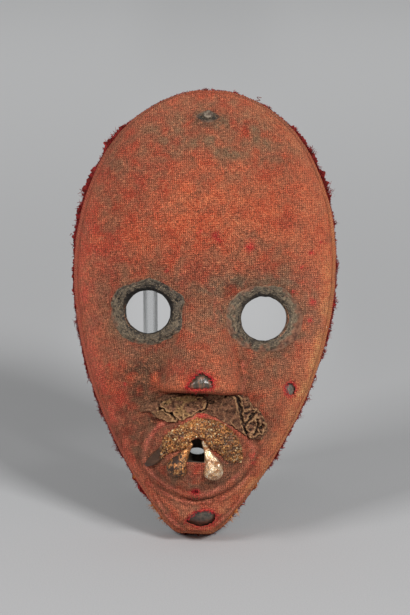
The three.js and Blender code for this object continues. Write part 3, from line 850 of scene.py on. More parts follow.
def creased(colour, u, v):
    """Each fold is paler along its top, partly rubbed and partly a painted highlight, with painted shade
    beside it.
    """
    for line, width, _ in FOLDS:
        away = distance_to_line(u, v, line)
        patchy = np.clip(0.5 + 0.45 * fractal2(u / 5, v / 5, 97), 0, 1) * bump(away, 0.7 * width)
        colour = dyed(colour, (226, 112, 96), 0.8 * patchy)
        # Painted shade in the crease beside each fold.
        colour = dyed(colour, (70, 34, 28), 0.5 * bump(away - 2.4 * width, 0.9 * width))
    return colour


def torn_edges(colour, u, v, depth):
    """The torn yarn is still crimson: round the worn holes, where it is picked and at the hem."""
    for outline in WORN.values():
        near = np.hypot(*(np.stack([u, v]) - outline.mean(axis=0)[:, None])) < 14
        torn = np.zeros(len(u))
        torn[near] = bump(distance_to_line(u[near], v[near], [*outline, outline[0]]), 0.75)
        colour = dyed(colour, (200, 28, 48), 0.85 * torn)
    picked = patches(u, v, [(at_u, at_v, spread, spread, 0.85) for at_u, at_v, spread, _ in PICKED])
    colour = dyed(colour, (222, 28, 50), picked)
    return dyed(colour, (136, 32, 38), 0.85 * smoothstep(EDGE_DEPTH - depth, 10, 14))


def colour_of_cloth(u, v, depth):
    """The dyed, worn and soiled colour of the cloth, point by point, without its weave; some coats and the
    lighter lower half and edges are painted light and shade.
    """
    broad = 0.55 + 0.5 * fractal2(u / 17, v / 17, 60)
    colour = dyed(np.array(srgb(166, 66, 48)), (198, 92, 62), np.clip(broad, 0, 1))
    for k, (places, dye) in enumerate(COATS):
        uneven = 0.8 + 0.6 * fractal2(u / 6 + 3 * k, v / 6, 70 + k)
        amount = np.clip(patches(u, v, places) * np.clip(uneven, 0.1, 1.6), 0, 1)
        colour = dyed(colour, dye, amount)
    colour = torn_edges(creased(worn_and_lit_rim(colour, u, v, depth), u, v), u, v, depth)
    # Painted light: the lower half and the right edge are lighter, as if lit more there, and the far left
    # edge is lighter as a painted sheen.
    painted_light_gain = 1 + 0.3 * smoothstep(-v, -118, -30)
    painted_light_gain = painted_light_gain + 0.35 * smoothstep(u, 34, 60) + 0.3 * smoothstep(-u, 48, 64)
    colour = np.clip(colour * painted_light_gain[:, None], 0, 1)
    colour[:, 3] = 1
    return colour


def weave_place(u, v):
    """Where a point lies in the cloth as knitted: across the ribs and along them."""
    pull = -0.22 * (v - 92) * bump(v - 92, 22) * bump(u - 16, 18)
    drawn = 0.35 * (v - 70) * bump(v - 70, 26) * bump(u + 44, 16)
    return u + pull + drawn, v + 0.12 * u * bump(v - 80, 30)


def cloth_relief(u, v):
    """How far the cloth stands off the wood, with its unevenness and its folds."""
    shape = np.shape(u)
    u, v = np.ravel(u), np.ravel(v)
    stand = CLOTH_FACE + 0.2 * fractal2(u / 24, v / 24, 3) + 0.1 * fractal2(u / 5, v / 5, 11, 2)
    for line, width, height in FOLDS:
        stand += height * bump(distance_to_line(u, v, line), width)
    return stand.reshape(shape)


def ragged(outline, amount, seed):
    """The same closed outline with an uneven, torn edge."""
    turn = np.arange(len(outline)) / len(outline) * 2 * math.pi
    uneven = noise_round(turn, 3, seed, 9) + noise_round(turn, 7, seed)
    return outline + unit(outline - outline.mean(axis=0)) * (amount * uneven)[:, None]


def rounded_rim(points, faces, times=14):
    """Lets the cloth roll over the rim: points there move towards their neighbours."""
    sides = [(a, b) for face in faces if len(face) == 4 for a, b in zip(face, face[1:] + face[:1])]
    start, end = np.array(sides).T
    share = share_of_outline(points[:, 0], points[:, 1], FRONT_WIDE, FRONT_TALL)
    near = smoothstep(share, 0.95, 0.985) * smoothstep(points[:, 2] - EDGE_DEPTH, -8, -3)
    count = np.maximum(np.bincount(start, minlength=len(points)), 1)[:, None]
    for _ in range(times):
        total = np.stack([np.bincount(start, points[end, k], len(points)) for k in range(3)], axis=1)
        points = lerp(points, np.where(count > 1, total / count, points), 0.6 * near[:, None])
    return points, faces


def make_cloth():
    outer = rounded_rim(*mask_form(cloth_relief, 0.68, hem=hem_depth, rings=14, rim_step=1.1))
    inner = mask_form(CLOTH_GAP, 3.0, back_depth=-5.0, rings=4)
    holes = [prism(ragged(outline, 0.5, 7 + k), 0, IN_FRONT) for k, outline in enumerate(WORN.values())]
    holes += [*eye_holes(EYE_ROOM_CLOTH), prism(MOUTH_RECESS, RECESS_BACK, IN_FRONT)]
    shape = cut(outer, inner, joined(holes))
    obj = piece("red_cloth", shape, cloth_material(), ["cloth_cover"])
    u, v, depth = shape[0].T
    store(obj, "tint", colour_of_cloth(u, v, depth), "FLOAT_COLOR")
    across, along = weave_place(u, v)
    wall = smoothstep(EDGE_DEPTH - depth, 0, 2)
    across = lerp(across, HEM_REACH * clock(u, v), wall)
    weave = np.stack([across, lerp(along, depth, wall), 0 * u], axis=1)
    store(obj, "weave", weave, "FLOAT_VECTOR")
    return obj


# ---- Frayed edges ----

# Tufts along the hem: clock angle in degrees, spread in degrees and extra length in millimetres.
TUFTS = [
    (-31, 2.4, 2.4), (-26, 2, 1.4), (-45, 6, 1.4), (-56, 4, 1.0), (38, 4, 1.6), (43.5, 1.2, 3.4),
    (27, 4, 0.9), (70, 3, 0.7), (84, 1.5, 1.4), (94, 2, 1.6), (107, 1.5, 2.0), (-100, 4, 1.0),
    (-118, 5, 0.9), (-137, 5, 1.0), (-163, 2.5, 1.8), (170, 2.5, 1.8), (150, 4, 0.9), (9, 3, 1.0),
    (-9, 2, 0.8), (130, 4, 0.8), (180, 3, 1.0), (-150, 3, 0.9),
]


# Strips of the hem that stand away from the wood: from and to in degrees by the clock, and width.
RIBBONS = [
    (-35, -24.5, 2.9), (-52, -38, 2.6), (-66, -50, 2.0), (-92, -64, 1.1), (22, 36, 2.2), (35, 43.5, 2.4),
    (42, 46, 3.6), (83, 92, 1.5), (98, 104, 1.6), (-134, -108, 1.2), (-166, -158, 1.8), (160, 168, 1.6),
    (124, 150, 1.0),
]


def outline_at(turn):
    """The back outline at some clock angles, and the way outwards there."""
    def place(at):
        reach = np.interp(np.abs(at), DIRECTIONS, REACHES)
        return np.stack([reach * np.sin(at), CENTRE + reach * np.cos(at)], axis=-1)
    ahead = unit(place(turn + 0.002) - place(turn - 0.002))
    return place(turn), np.stack([-ahead[..., 1], ahead[..., 0]], axis=-1)


MEAN_REACH = 100  # about how far the outline is from the centre of the face
RIBBON_STEP = 0.22


def ribbon(first, last, wide, seed):
    """A strip of torn hem between two clock angles; its outer edge is ragged and tapers at the ends."""
    long = math.radians(last - first) * MEAN_REACH
    s = np.linspace(0, 1, int(long / RIBBON_STEP))[None, :]
    t = np.linspace(0, 1, 8)[:, None]
    place, out = outline_at(math.radians(first) + math.radians(last - first) * s)
    uneven = 0.75 + 0.45 * noise2(s * long / 2.6, 0.0, seed)
    uneven = uneven + 0.28 * noise2(s * long / 0.7, 0.0, seed + 30)
    reach = wide * np.clip(uneven, 0.05, 2) * np.minimum(1, np.minimum(s, 1 - s) * long / 2.5) + 0.15
    flat = place + out * lerp(-2.2, reach, t)[..., None]
    depth = 5.2 + 2.2 * t * noise2(s * long / 3.1, 0.0, seed + 60)
    depth = depth + 0.25 * noise2(s * long / 0.6, t * 3, seed + 90)
    half = lerp(1.0, 0.35, t) / 2
    return closed_sheet(*(np.concatenate([flat, (depth + up)[..., None]], axis=-1) for up in (half, -half)))


def make_ribbons():
    shape = joined([ribbon(*ends, 200 + k) for k, ends in enumerate(RIBBONS)])
    make_threads("torn_hem", shape, (78, 16, 22), (148, 36, 42))


FRAY_THREADS = 6400


def make_hem_fray():
    rng = np.random.default_rng(5)
    count = FRAY_THREADS
    turn, place, out = round_outline(count)
    clump = 0.5 + 0.5 * fractal2(turn * 30, 0.0, 50) + 0.4 * noise2(turn * 110, 0.0, 53)
    clump = np.clip(clump, 0, 1.4)
    length = (0.15 + 1.2 * clump**2.2 + by_clock(turn, TUFTS)) * rng.uniform(0.5, 1.25, count)
    length *= 1 - 0.75 * np.clip(near_clock(turn, -15, 7) + near_clock(turn, 10, 3), 0, 1)
    share = 1 - (hem_depth(turn) - rng.uniform(-0.3, 2.4, count)) / EDGE_DEPTH
    roots = on_side(place, out, turn, np.clip(share, 0, 1), rng.uniform(0.5, 1.5, count))
    lean = noise2(turn * 60, 0.0, 57)
    ahead = np.column_stack([out[:, 1], -out[:, 0]])
    ways = np.column_stack([out + 0.9 * lean[:, None] * ahead, 0.4 * noise2(turn * 75, 0.0, 59)])
    ways += rng.normal(0, 0.33, (count, 3))
    shape = threads(roots, ways, length, rng.uniform(0.35, 0.8, count), 1.2, rng, 3)
    make_threads("hem_fray", shape, (96, 18, 24), (164, 42, 46))


# Rusty tufts at the foot of the hem: clock angle in degrees, spread in degrees and threads.
RUST = [
    (-168.6, 0.8, 26), (-171.4, 0.7, 18), (169.4, 0.9, 30), (171.6, 0.7, 16), (-160, 0.5, 6), (161, 0.5, 8),
]


def make_rust_tufts():
    rng = np.random.default_rng(33)
    turn = np.radians(np.concatenate([rng.normal(at, spread, n) for at, spread, n in RUST]))
    place, out = outline_at(turn)
    count = len(turn)
    roots = on_side(place, out, turn, rng.uniform(0.4, 0.75, count), rng.uniform(1.1, 1.7, count))
    ways = np.column_stack([0.7 * out[:, 0], 0.6 * out[:, 1] - 0.7, rng.uniform(0, 0.8, count)])
    ways += rng.normal(0, 0.3, (count, 3))
    shape = threads(roots, ways, rng.uniform(1.4, 4.0, count), rng.uniform(0.3, 0.6, count), 0.9, rng)
    make_threads("rust_tufts", shape, (146, 78, 36), (236, 156, 84))


# Threads round each worn hole: how many to a millimetre and how long.
WORN_THREADS = {"nose": (5, 1.7), "chin": (4, 1.4), "cheek": (6, 1.5), "lip": (6, 1.3)}


def make_torn_threads():
    """Short crimson threads round the worn holes, and where the cloth has been picked."""
    rng = np.random.default_rng(9)
    roots, ways, lengths = [], [], []
    for name, (per_mm, long) in WORN_THREADS.items():
        outline = WORN[name]
        away = unit(outline - outline.mean(axis=0))
        around = np.linalg.norm(np.roll(outline, -1, axis=0) - outline, axis=1).sum()
        n = int(per_mm * around)
        k = rng.integers(0, len(outline), n)
        roots.append(outline[k] + away[k] * rng.uniform(-0.4, 1.5, (n, 1)))
        ways.append(np.column_stack([away[k] * rng.uniform(-0.6, 1, (n, 1)), rng.uniform(0.2, 1.0, n)]))
        lengths.append(long * rng.uniform(0.5, 1.2, n))
    for at_u, at_v, spread, n in PICKED:
        roots.append(rng.normal((at_u, at_v), spread, (n, 2)))
        ways.append(np.column_stack([rng.normal(0, 1, (n, 2)), rng.uniform(0.2, 0.8, n)]))
        lengths.append(rng.uniform(0.9, 2.2, n))
    flat, ways, lengths = np.vstack(roots), np.vstack(ways), np.concatenate(lengths)
    ways += rng.normal(0, 0.3, ways.shape)
    start = over_cloth(flat[:, 0], flat[:, 1], -0.3)
    shape = threads(start, ways, lengths, rng.uniform(0.26, 0.5, len(start)), 0.9, rng)
    make_threads("torn_threads", shape, (172, 26, 42), (222, 58, 68))


def tube(path, radius, sides=5):
    """A closed tube along a path of points."""
    ahead = unit(np.gradient(path, axis=0))
    side = unit(np.cross(ahead, (0.2, 0.3, 1.0)))
    other = np.cross(ahead, side)
    turn = np.arange(sides) * 2 * math.pi / sides
    circle = np.cos(turn)[:, None] * side[:, None] + np.sin(turn)[:, None] * other[:, None]
    index = np.arange(len(path) * sides).reshape(-1, sides)
    caps = [tuple(index[0, ::-1].tolist()), tuple(index[-1].tolist())]
    return (path[:, None] + radius * circle).reshape(-1, 3), ring_faces(index) + caps


# Fibres that hang loose: clock angle in degrees, length, turns and reach of the curl.
LOOSE = [
    (-61, 5.5, 1.3, 0.9), (11.5, 4.0, 1.6, 1.1), (-29, 3.6, 1.0, 0.8), (44, 3.8, 0.8, 0.7),
    (96, 3.0, 1.2, 0.7), (-163, 3.4, 1.1, 0.9), (166, 3.2, 0.9, 0.9), (-120, 2.6, 1.0, 0.6),
    (128, 2.4, 1.0, 0.6), (-84, 2.4, 0.8, 0.6),
]


FIBRE_RADIUS = 0.17


def make_loose_fibres():
    shapes = []
    for degrees, length, turns, curl in LOOSE:
        place, out = outline_at(np.array([math.radians(degrees)]))
        t = np.linspace(0, 1, 40)
        spin = 2 * math.pi * turns * t
        flat = place + out * (length * t * (1 - 0.3 * t))[:, None]
        ahead = np.array([out[0, 1], -out[0, 0]])
        flat = flat + ahead * (curl * (1 - np.cos(spin)) * np.sign(degrees))[:, None]
        depth = 5 + curl * np.sin(spin)
        shapes.append(tube(np.column_stack([flat, depth]), FIBRE_RADIUS))
    make_threads("loose_fibres", joined(shapes), (88, 40, 34), (150, 70, 60))


def over_cloth(u, v, lift):
    """Points that stand lift off the cloth's face."""
    return lifted(u, v, cloth_relief(u, v) + lift)


# ---- Layers that lie on the cloth ----


def spline(corners, count):
    """An open, smooth curve through corners, at count even steps."""
    p = np.asarray(corners, float)
    p = np.vstack([2 * p[0] - p[1], p, 2 * p[-1] - p[-2]])
    curve = np.vstack([catmull_rom(p[:-3], p[1:-2], p[2:-1], p[3:], 24), p[-2]])
    length = np.concatenate([[0], np.cumsum(np.linalg.norm(np.diff(curve, axis=0), axis=1))])
    at = np.linspace(0, length[-1], count)
    return np.stack([np.interp(at, length, curve[:, k]) for k in range(2)], axis=1)


def strip_grid(lower, upper, along, across):
    """A grid of (u, v) between two open curves that run the same way, and its two shares."""
    low, high = spline(lower, along), spline(upper, along)
    t = np.linspace(0, 1, across)
    grid = lerp(low[None], high[None], t[:, None, None])
    s, t = np.meshgrid(np.linspace(0, 1, along), t)
    return grid[..., 0], grid[..., 1], s, t


def sheet_on_cloth(u, v, height, under=-0.25):
    """A closed solid over a grid of (u, v): its top height above the cloth, its bottom under it."""
    return closed_sheet(over_cloth(u, v, height), over_cloth(u, v, np.full_like(u, under)))


def from_edge(s, t, along, across):
    """0 at the edge of a grid and rising inwards, at along for its ends and across for its sides."""
    return np.minimum(np.minimum(s, 1 - s) * along, np.minimum(t, 1 - t) * across)


def blurred(values, times):
    """A grid of values, smoothed by its neighbours."""
    for _ in range(times):
        padded = np.pad(values, 1, mode="edge")
        values = (padded[:-2, 1:-1] + padded[2:, 1:-1] + padded[1:-1, :-2] + padded[1:-1, 2:]) / 4
    return values


def hollows_of(height, times=12, scale=0.5):
    """1 on ridges and 0 in creases, 0.5 where a grid of heights is even."""
    return np.clip(0.5 + (height - blurred(height, times)) / scale, 0, 1)


# ---- Eye rims ----


def resin_material():
    tree = Tree("dark_resin")
    tone = tree.attribute("tone")
    hairs = tree.noise(2.2, 4, 0.7, 0.8, tree.scaled(tree.attribute("grain", "Vector"), 0.35, 1.6, 1))
    lumps = tree.noise(360, 4, 0.65)
    # tone carries painted light and shade: lighter on the resin's ridges, near black in its creases, under
    # the upper edge of the hole and down the lip inside it.
    colour = tree.coats(
        srgb(34, 29, 26),
        (lumps, 0.36, 0.60, 0, 1, (96, 85, 72)),
        (tone, 0.50, 0.95, 0, 0.6, (140, 120, 96)),
        (hairs, 0.53, 0.68, 0, 0.95, (190, 166, 132)),
        (hairs, 0.32, 0.45, 0.85, 0, (26, 22, 20)),
        (tone, 0.0, 0.45, 0.92, 0, (20, 16, 14)),
    )
    red = tree.coats(srgb(104, 66, 50), (lumps, 0.35, 0.6, 0, 1, (150, 104, 80)))
    colour = tree.mix(tree.attribute("fade"), colour, red)
    rough = tree.span(lumps, 0.3, 0.7, 0.5, 0.8)
    return tree.finish(colour, rough, (tree.plus(hairs, lumps, 0.6), 0.9, 0.0006), Specular_IOR_Level=0.35)


RIM_GRAIN = 8  # the resin's width, in steps of its grain
RIM_ROOM = 0.26  # how far the rim's foot stays outside the edge of its hole
RIM_DEEP = 3.0  # how far its lip goes down into the hole


def rim_height(u, v, t, around, rise, flatness, seed):
    """How far the resin stands above the cloth: t is 0 at the hole and 1 at the outer edge."""
    swell = np.sin(np.clip(t / 0.42, 0, 1) * math.pi / 2) ** 1.2
    lumps = 0.55 * fractal2(u / 3.2, v / 3.2, seed + 3, 3) + 0.2 * fractal2(u / 0.9, v / 0.9, seed + 8, 2)
    away = t * RIM_GRAIN
    hairs = 0.22 * noise2(around / 1.4 + 1.5 * noise2(around / 3, away / 2, seed + 5), away / 0.5, seed + 6)
    height = rise * swell * (1 - smoothstep(t, flatness, 1.0))
    height = height + (lumps + hairs) * (0.3 + 0.7 * swell) - 0.5 * (1 - swell)
    height = np.where(t > 0.07, np.maximum(height, 0.12 + 0.3 * np.abs(lumps)), height)
    return height - 0.8 * smoothstep(t, 0.95, 1.0)


def rim_shape(eye, rise, flatness, seed, turns=520, across=30):
    """A closed, lumpy ring round an eye hole: outer wall under the cloth, inner lip in the hole.

    Gives its points and faces, and for each point its tone, which holds painted light and shade, its place
    along the resin's grain, its share of the way outwards and its direction.
    """
    turn = full_turn(turns)[:, None]
    t = np.linspace(0, 1, across)[None, :]
    uneven = noise_round(turn, 2.2, seed, 7) + 0.5 * noise_round(turn, 6, seed + 1)
    uneven_lip = 0.18 * noise_round(turn, 5, seed + 2)

    def place(reach_wide, reach_tall):
        return eye["u"] + reach_wide * np.cos(turn), eye["v"] + reach_tall * np.sin(turn)

    u, v = place(
        lerp(eye["wide"] + uneven_lip, eye["rim_wide"] + uneven, t),
        lerp(eye["tall"] + uneven_lip, eye["rim_tall"] + uneven, t),
    )
    around = turn * eye["rim_wide"] * 0.8
    height = rim_height(u, v, t, around, rise, flatness, seed)
    top = over_cloth(u, v, height)
    foot_out = over_cloth(u[:, -1:], v[:, -1:], -0.9 + 0 * u[:, -1:])
    hole_u, hole_v = place(eye["wide"] + RIM_ROOM, eye["tall"] + RIM_ROOM)
    surface = face_depth(u[:, :1], v[:, :1])
    lip = [lerp(hole_u, u[:, :1], 0.9), lerp(hole_v, v[:, :1], 0.9), surface - RIM_DEEP]
    lip, foot_in = (np.stack(point, axis=-1) for point in (lip, [hole_u, hole_v, surface + 0.5]))
    section = np.concatenate([lip, top, foot_out, foot_in], axis=1)

    n, m = section.shape[:2]
    index = np.arange(n * m).reshape(n, m)
    on = np.roll(index, -1, axis=0)
    faces = quads(index, np.roll(index, -1, axis=1), np.roll(on, -1, axis=1), on)
    # Painted shadow under the hole's upper edge, and painted shade in the creases from hollows_of.
    overhang_shadow = bump(t - 0.08, 0.16) * (0.3 + 0.9 * near_clock(math.pi / 2 - turn, 0, 60))
    tone = np.clip(hollows_of(height, 8, 0.8) - 0.8 * overhang_shadow, 0, 1)
    # The lip inside the hole is set dark: painted shade.
    tone = np.column_stack([np.full(n, 0.1), tone, np.full((n, 2), 0.3)])
    grain = np.zeros((n, m, 3))
    grain[..., 0] = around
    grain[:, 1:-2, 1] = t * RIM_GRAIN
    share = np.column_stack([np.zeros(n), np.broadcast_to(t, (n, across)), np.ones((n, 2))])
    shape, turn = (section.reshape(-1, 3), faces), np.broadcast_to(turn, (n, m))
    return shape, tone.ravel(), grain, share.ravel(), turn.ravel()


# Each rim's shape: its rise, where it starts to slope down and its seed. Then what brightens its tone and
# what fades it to red, as (direction by the clock in degrees, spread, amount).
EYE_RIMS = {
    "left": ((1.6, 0.6, 31), [(-90, 40, 0.22), (0, 50, -0.25)], [(90, 60, -0.25)]),
    "right": ((0.8, 0.5, 57), [(95, 45, 0.5), (-90, 40, 0.25)], [(130, 50, 0.4), (-90, 35, 0.3)]),
}


def make_eye_rims():
    material = resin_material()
    for side, (form, brighter, redder) in EYE_RIMS.items():
        shape, tone, grain, share, turn = rim_shape(EYES[side], *form)
        obj = piece(f"resin_rim_{side}", shape, material, [f"eye_rim_{side}"])
        u, v, _ = shape[0].T
        blotch = fractal2(u / 3.5, v / 3.5, form[2] + 20)
        turn = math.pi / 2 - turn
        fade = smoothstep(share + 0.3 * blotch + by_clock(turn, redder), 0.75, 1.2)
        store(obj, "tone", np.clip(tone + by_clock(turn, brighter), 0, 1))
        store(obj, "grain", grain, "FLOAT_VECTOR")
        store(obj, "fade", np.clip(fade, 0, 1))


# ---- Moustache ----


def hide_material():
    tree = Tree("brown_hide")
    tone = tree.attribute("tone")
    lumps = tree.noise(300, 4, 0.6)
    fine = tree.noise(1500, 4, 0.65)
    colour = tree.coats(srgb(80, 50, 36), (lumps, 0.35, 0.65, 0, 1, (134, 90, 66)))
    colour = tree.mix(tree.attribute("worn"), colour, srgb(146, 112, 70))
    # tone carries painted light and shade: a painted highlight on the ridges and painted shade, near black,
    # in the creases.
    colour = tree.coats(
        colour,
        (tone, 0.62, 1.0, 0, 0.6, (206, 162, 116)),
        (tone, 0.08, 0.5, 0.97, 0, (18, 12, 9)),
        (fine, 0.34, 0.49, 0.85, 0, (48, 30, 20)),
        (fine, 0.54, 0.68, 0, 0.45, (196, 152, 110)),
    )
    return tree.finish(colour, 0.82, (tree.plus(fine, lumps, 0.5), 0.7, 0.0004), Specular_IOR_Level=0.25)


MOUSTACHE_TOP = [
    (-31, 67.4), (-28.4, 71.2), (-25.4, 72.6), (-23.2, 72.2), (-18.4, 75.6), (-10.5, 76.8), (-2, 77.6),
    (4, 76.9), (8, 77.6), (15.9, 77.6), (21.2, 78.1), (25.6, 75.6), (28, 71.8), (30.2, 71), (33.5, 66.1),
    (35.6, 61.3), (34.8, 56.6),
]
MOUSTACHE_FOOT = [
    (-31, 66.6), (-27, 66.8), (-24, 65.6), (-22.8, 63.9), (-17.8, 62.2), (-12, 61.6), (-6.3, 62.8),
    (0.5, 64.8), (6.9, 65.4), (12.3, 63.1), (16.7, 60.5), (22.1, 57.7), (26.6, 54.8), (31, 54),
    (34.4, 55.6),
]
FLAP = [
    (-20.5, 71.6), (-13.1, 75.6), (-5.1, 76.6), (2.2, 76.4), (4.2, 73), (2.9, 69.7), (-2.2, 66.8),
    (-7.8, 63.4), (-12.2, 65.7), (-17, 68.1),
]
LOWER_FLAP = [(-24, 66.6), (-19, 68.4), (-13, 65.8), (-8.4, 62.8), (-14, 61), (-20, 62.2)]
SLITS = [
    ([(18.4, 77.2), (20.2, 72), (21.8, 67.1), (23.3, 61.4), (25, 57.4)], 0.55, 2.2),
    ([(23.4, 61.4), (25.6, 64.6), (28.2, 68.4)], 0.5, 1.8),
    ([(-7.8, 63.2), (-2.2, 66.5), (2.9, 69.5), (4.4, 73)], 0.4, 1.2),
    ([(-20, 69), (-16, 67.2), (-12.2, 65.2), (-8.2, 63)], 0.4, 1.3), ([(26, 75), (28, 72)], 0.4, 1.2),
    ([(28, 57.5), (30.6, 60.6), (30, 65)], 0.5, 1.6), ([(31.5, 58.5), (33, 62)], 0.45, 1.4),
    ([(13, 76.8), (14.5, 77.4)], 0.5, 1.4),
]
KNOTS = [
    (27.4, 59.6, 1.5), (30.6, 64.2, 1.4), (33.6, 61.6, 1.3), (31.8, 56.6, 1.5), (26.2, 55.8, 1.1),
    (24.6, 70, 0.9),
]


def inside(u, v, outline):
    """Distance into a closed outline, negative outside it."""
    away = distance_to_line(u.ravel(), v.ravel(), [*outline, outline[0]]).reshape(u.shape)
    within = np.zeros(u.shape, bool)
    for (au, av), (bu, bv) in zip(outline, [*outline[1:], outline[0]]):
        crosses = (av > v) != (bv > v)
        slope = (bu - au) / (bv - av if bv != av else 1e-9)
        within ^= crosses & (u < au + slope * (v - av))
    return np.where(within, away, -away)


# The hole in the hide, as two dents: (u, v, spread, depth).
HIDE_HOLE = [(6.1, 72.9, 0.75, 2.0), (3.4, 74, 0.6, 1.1)]


def hide_height(u, v, s, t, flap, lower, creases):
    right = smoothstep(u, 20, 27)
    wavy_u, wavy_v = wavy(u, v)
    height = 1.3 + (0.35 + 0.3 * right) * creases
    height = height + (0.16 + 0.2 * flap + 0.3 * right) * fractal2(u / 1.1, v / 1.1, 105, 3)
    height += 1.2 * flap + 0.6 * lower
    for line, width, depth in SLITS:
        gap = distance_to_line(wavy_u.ravel(), wavy_v.ravel(), line).reshape(u.shape)
        height -= depth * bump(gap, width) - 0.5 * bump(gap - 2.4 * width, width)
    for at_u, at_v, spread, depth in HIDE_HOLE:
        height -= depth * bump(np.hypot(wavy_u - at_u, wavy_v - at_v), spread)
    for at_u, at_v, size in KNOTS:
        height += 1.3 * bump(np.hypot(wavy_u - at_u, wavy_v - at_v), size)
    curl = 0.9 * bump(t, 0.035) * smoothstep(fractal2(s * 14, 0.0, 3), -0.5, 0.4) + 0.5 * bump(t - 1, 0.03)
    edge = np.clip(from_edge(s, t, 26, 14), 0, 1)
    return (np.maximum(height, 0.1) + curl) * edge**0.5 + 0.05


def wavy(u, v):
    return u + 0.7 * fractal2(u / 2.6, v / 2.6, 111, 2), v + 0.7 * fractal2(u / 2.6, v / 2.6, 117, 2)


def make_moustache():
    u, v, s, t = strip_grid(MOUSTACHE_FOOT, MOUSTACHE_TOP, 380, 116)
    creases = 1 - 2.2 * np.abs(fractal2(u / 5 + 0.5 * noise2(u / 3, v / 3, 5), v / 3.4, 101, 3))
    flap = smoothstep(inside(*wavy(u, v), FLAP), -0.35, 0.45)
    lower = smoothstep(inside(*wavy(u, v), LOWER_FLAP), -0.3, 0.4)
    height = hide_height(u, v, s, t, flap, lower, creases)
    notch = 0.45 * fractal2(s * 46, 0.0, 121, 3)
    shape = sheet_on_cloth(u, v + notch * (np.abs(t - 0.5) * 2) ** 3, height)
    obj = piece("hide_moustache", shape, hide_material(), ["moustache"])
    # Painted light and shade from the hide's ridges and creases.
    store(obj, "tone", hollows_of(height, 30, 1.0))
    store(obj, "worn", 0.8 * flap * smoothstep(creases, -0.5, 0.7) + 0.3 * lower)


# ---- Crust on the lip ----


def crust_material():
    tree = Tree("golden_crust")
    chance = tree.attribute("chance")
    fine = tree.noise(1700, 3, 0.6)
    colour = tree.coats(
        srgb(122, 68, 34),
        (tree.noise(260, 3, 0.6), 0.38, 0.62, 0, 1, (206, 132, 66)),
        (chance, 0.66, 0.95, 0, 0.85, (228, 176, 108)),
        (chance, 0.08, 0.30, 0.7, 0, (158, 78, 38)),
        # Painted glints: the whitish grains and the fine bright specks; painted shade: the fine dark specks
        # in the gaps between grains, and by tone the hollows.
        (chance, 0.9, 0.97, 0, 0.9, (255, 234, 190)),
        (fine, 0.32, 0.5, 0.8, 0, (54, 34, 22)),
        (fine, 0.54, 0.66, 0, 0.7, (255, 212, 142)),
        (tree.attribute("tone"), 0.1, 0.7, 0.95, 0, (62, 38, 24)),
    )
    rough = tree.span(chance, 0.0, 1.0, 0.35, 0.7)
    return tree.finish(colour, rough, (fine, 0.6, 0.0003), Specular_IOR_Level=0.45)


CRUST_TOP = [
    (-26, 38), (-24.4, 42.6), (-21, 46.6), (-18.8, 49), (-17, 53), (-13.3, 56.4), (-7.7, 59.9),
    (-3.1, 62.1), (1.6, 63), (6.3, 62.7), (11.1, 61.2), (16, 58.2), (20, 53.9), (22.4, 49.2), (22.6, 44.4),
]
CRUST_FOOT = [
    (-25.4, 37.4), (-20.7, 38.8), (-17.8, 41.4), (-15.6, 44.6), (-12.9, 46.1), (-8.2, 48.3), (-5.1, 50.9),
    (-3.2, 54.4), (0.6, 55.4), (3.9, 53.8), (6, 50), (9.8, 46.4), (13.8, 42.6), (17.7, 41.2), (22, 42.4),
]


def lump_shape():
    """A regular solid of twenty triangles: the points and faces of one grain."""
    golden = (1 + math.sqrt(5)) / 2
    corners = []
    for a in (-1, 1):
        for b in (-golden, golden):
            corners += [(a, b, 0), (0, a, b), (b, 0, a)]
    points = unit(np.array(corners))
    faces = []
    for i, j, k in itertools.combinations(range(12), 3):
        edges = [np.linalg.norm(points[p] - points[q]) for p, q in ((i, j), (j, k), (k, i))]
        if max(edges) < 1.1:
            outwards = np.dot(np.cross(points[j] - points[i], points[k] - points[i]), points[i]) > 0
            faces.append((i, j, k) if outwards else (i, k, j))
    return points, np.array(faces)


def lumps(centres, sizes, rng):
    """Many uneven grains as one shape, and which grain each point belongs to."""
    ball, faces = lump_shape()
    n = len(centres)
    uneven = 1 + 0.28 * rng.normal(size=(n, len(ball), 1)).clip(-1.5, 1.5)
    stretch = rng.uniform(0.7, 1.35, (n, 1, 3))
    points = centres[:, None] + ball[None] * uneven * stretch * sizes[:, None, None] / 2
    all_faces = faces[None] + (np.arange(n) * len(ball))[:, None, None]
    owner = np.repeat(np.arange(n), len(ball))
    return points.reshape(-1, 3), [tuple(f) for f in all_faces.reshape(-1, 3).tolist()], owner


def make_crust():
    material = crust_material()
    u, v, s, t = strip_grid(CRUST_FOOT, CRUST_TOP, 240, 70)
    leather = smoothstep(-u, 16.5, 19)
    grains = np.abs(fractal2(u / 1.5, v / 1.5, 140, 3))
    folds = 1 - 2 * np.abs(noise2(u / 5 + v / 9, v / 2.2, 148))
    height = 0.6 + 0.35 * fractal2(u / 5, v / 5, 144, 2) + lerp(0.75 * grains, 1.2 + 0.6 * folds, leather)
    height = np.maximum(height, 0.15) * np.clip(from_edge(s, t, 30, 9), 0, 1) ** 0.6 + 0.03
    shape = sheet_on_cloth(u, v, height)
    obj = piece("crust_bed", shape, material, ["lip_crust"])
    golden = smoothstep(fractal2(u / 2.4, v / 2.4, 152), -0.5, 0.4) * smoothstep(-u, -16, 4) * (1 - leather)
    # tone: darker in the bed's hollows as painted shade; the darker leather and the golden patches are their
    # own colour.
    store(obj, "tone", (0.6 + 0.5 * golden) * (1 - 0.75 * leather) * hollows_of(height, 8, 0.7))
    store(obj, "chance", 0.4 + 0.3 * fractal2(u / 3, v / 3, 150))
    make_grains(material, u, v, height)


GRAIN_TRIES = 9000  # places tried for a grain; most of them stay bare


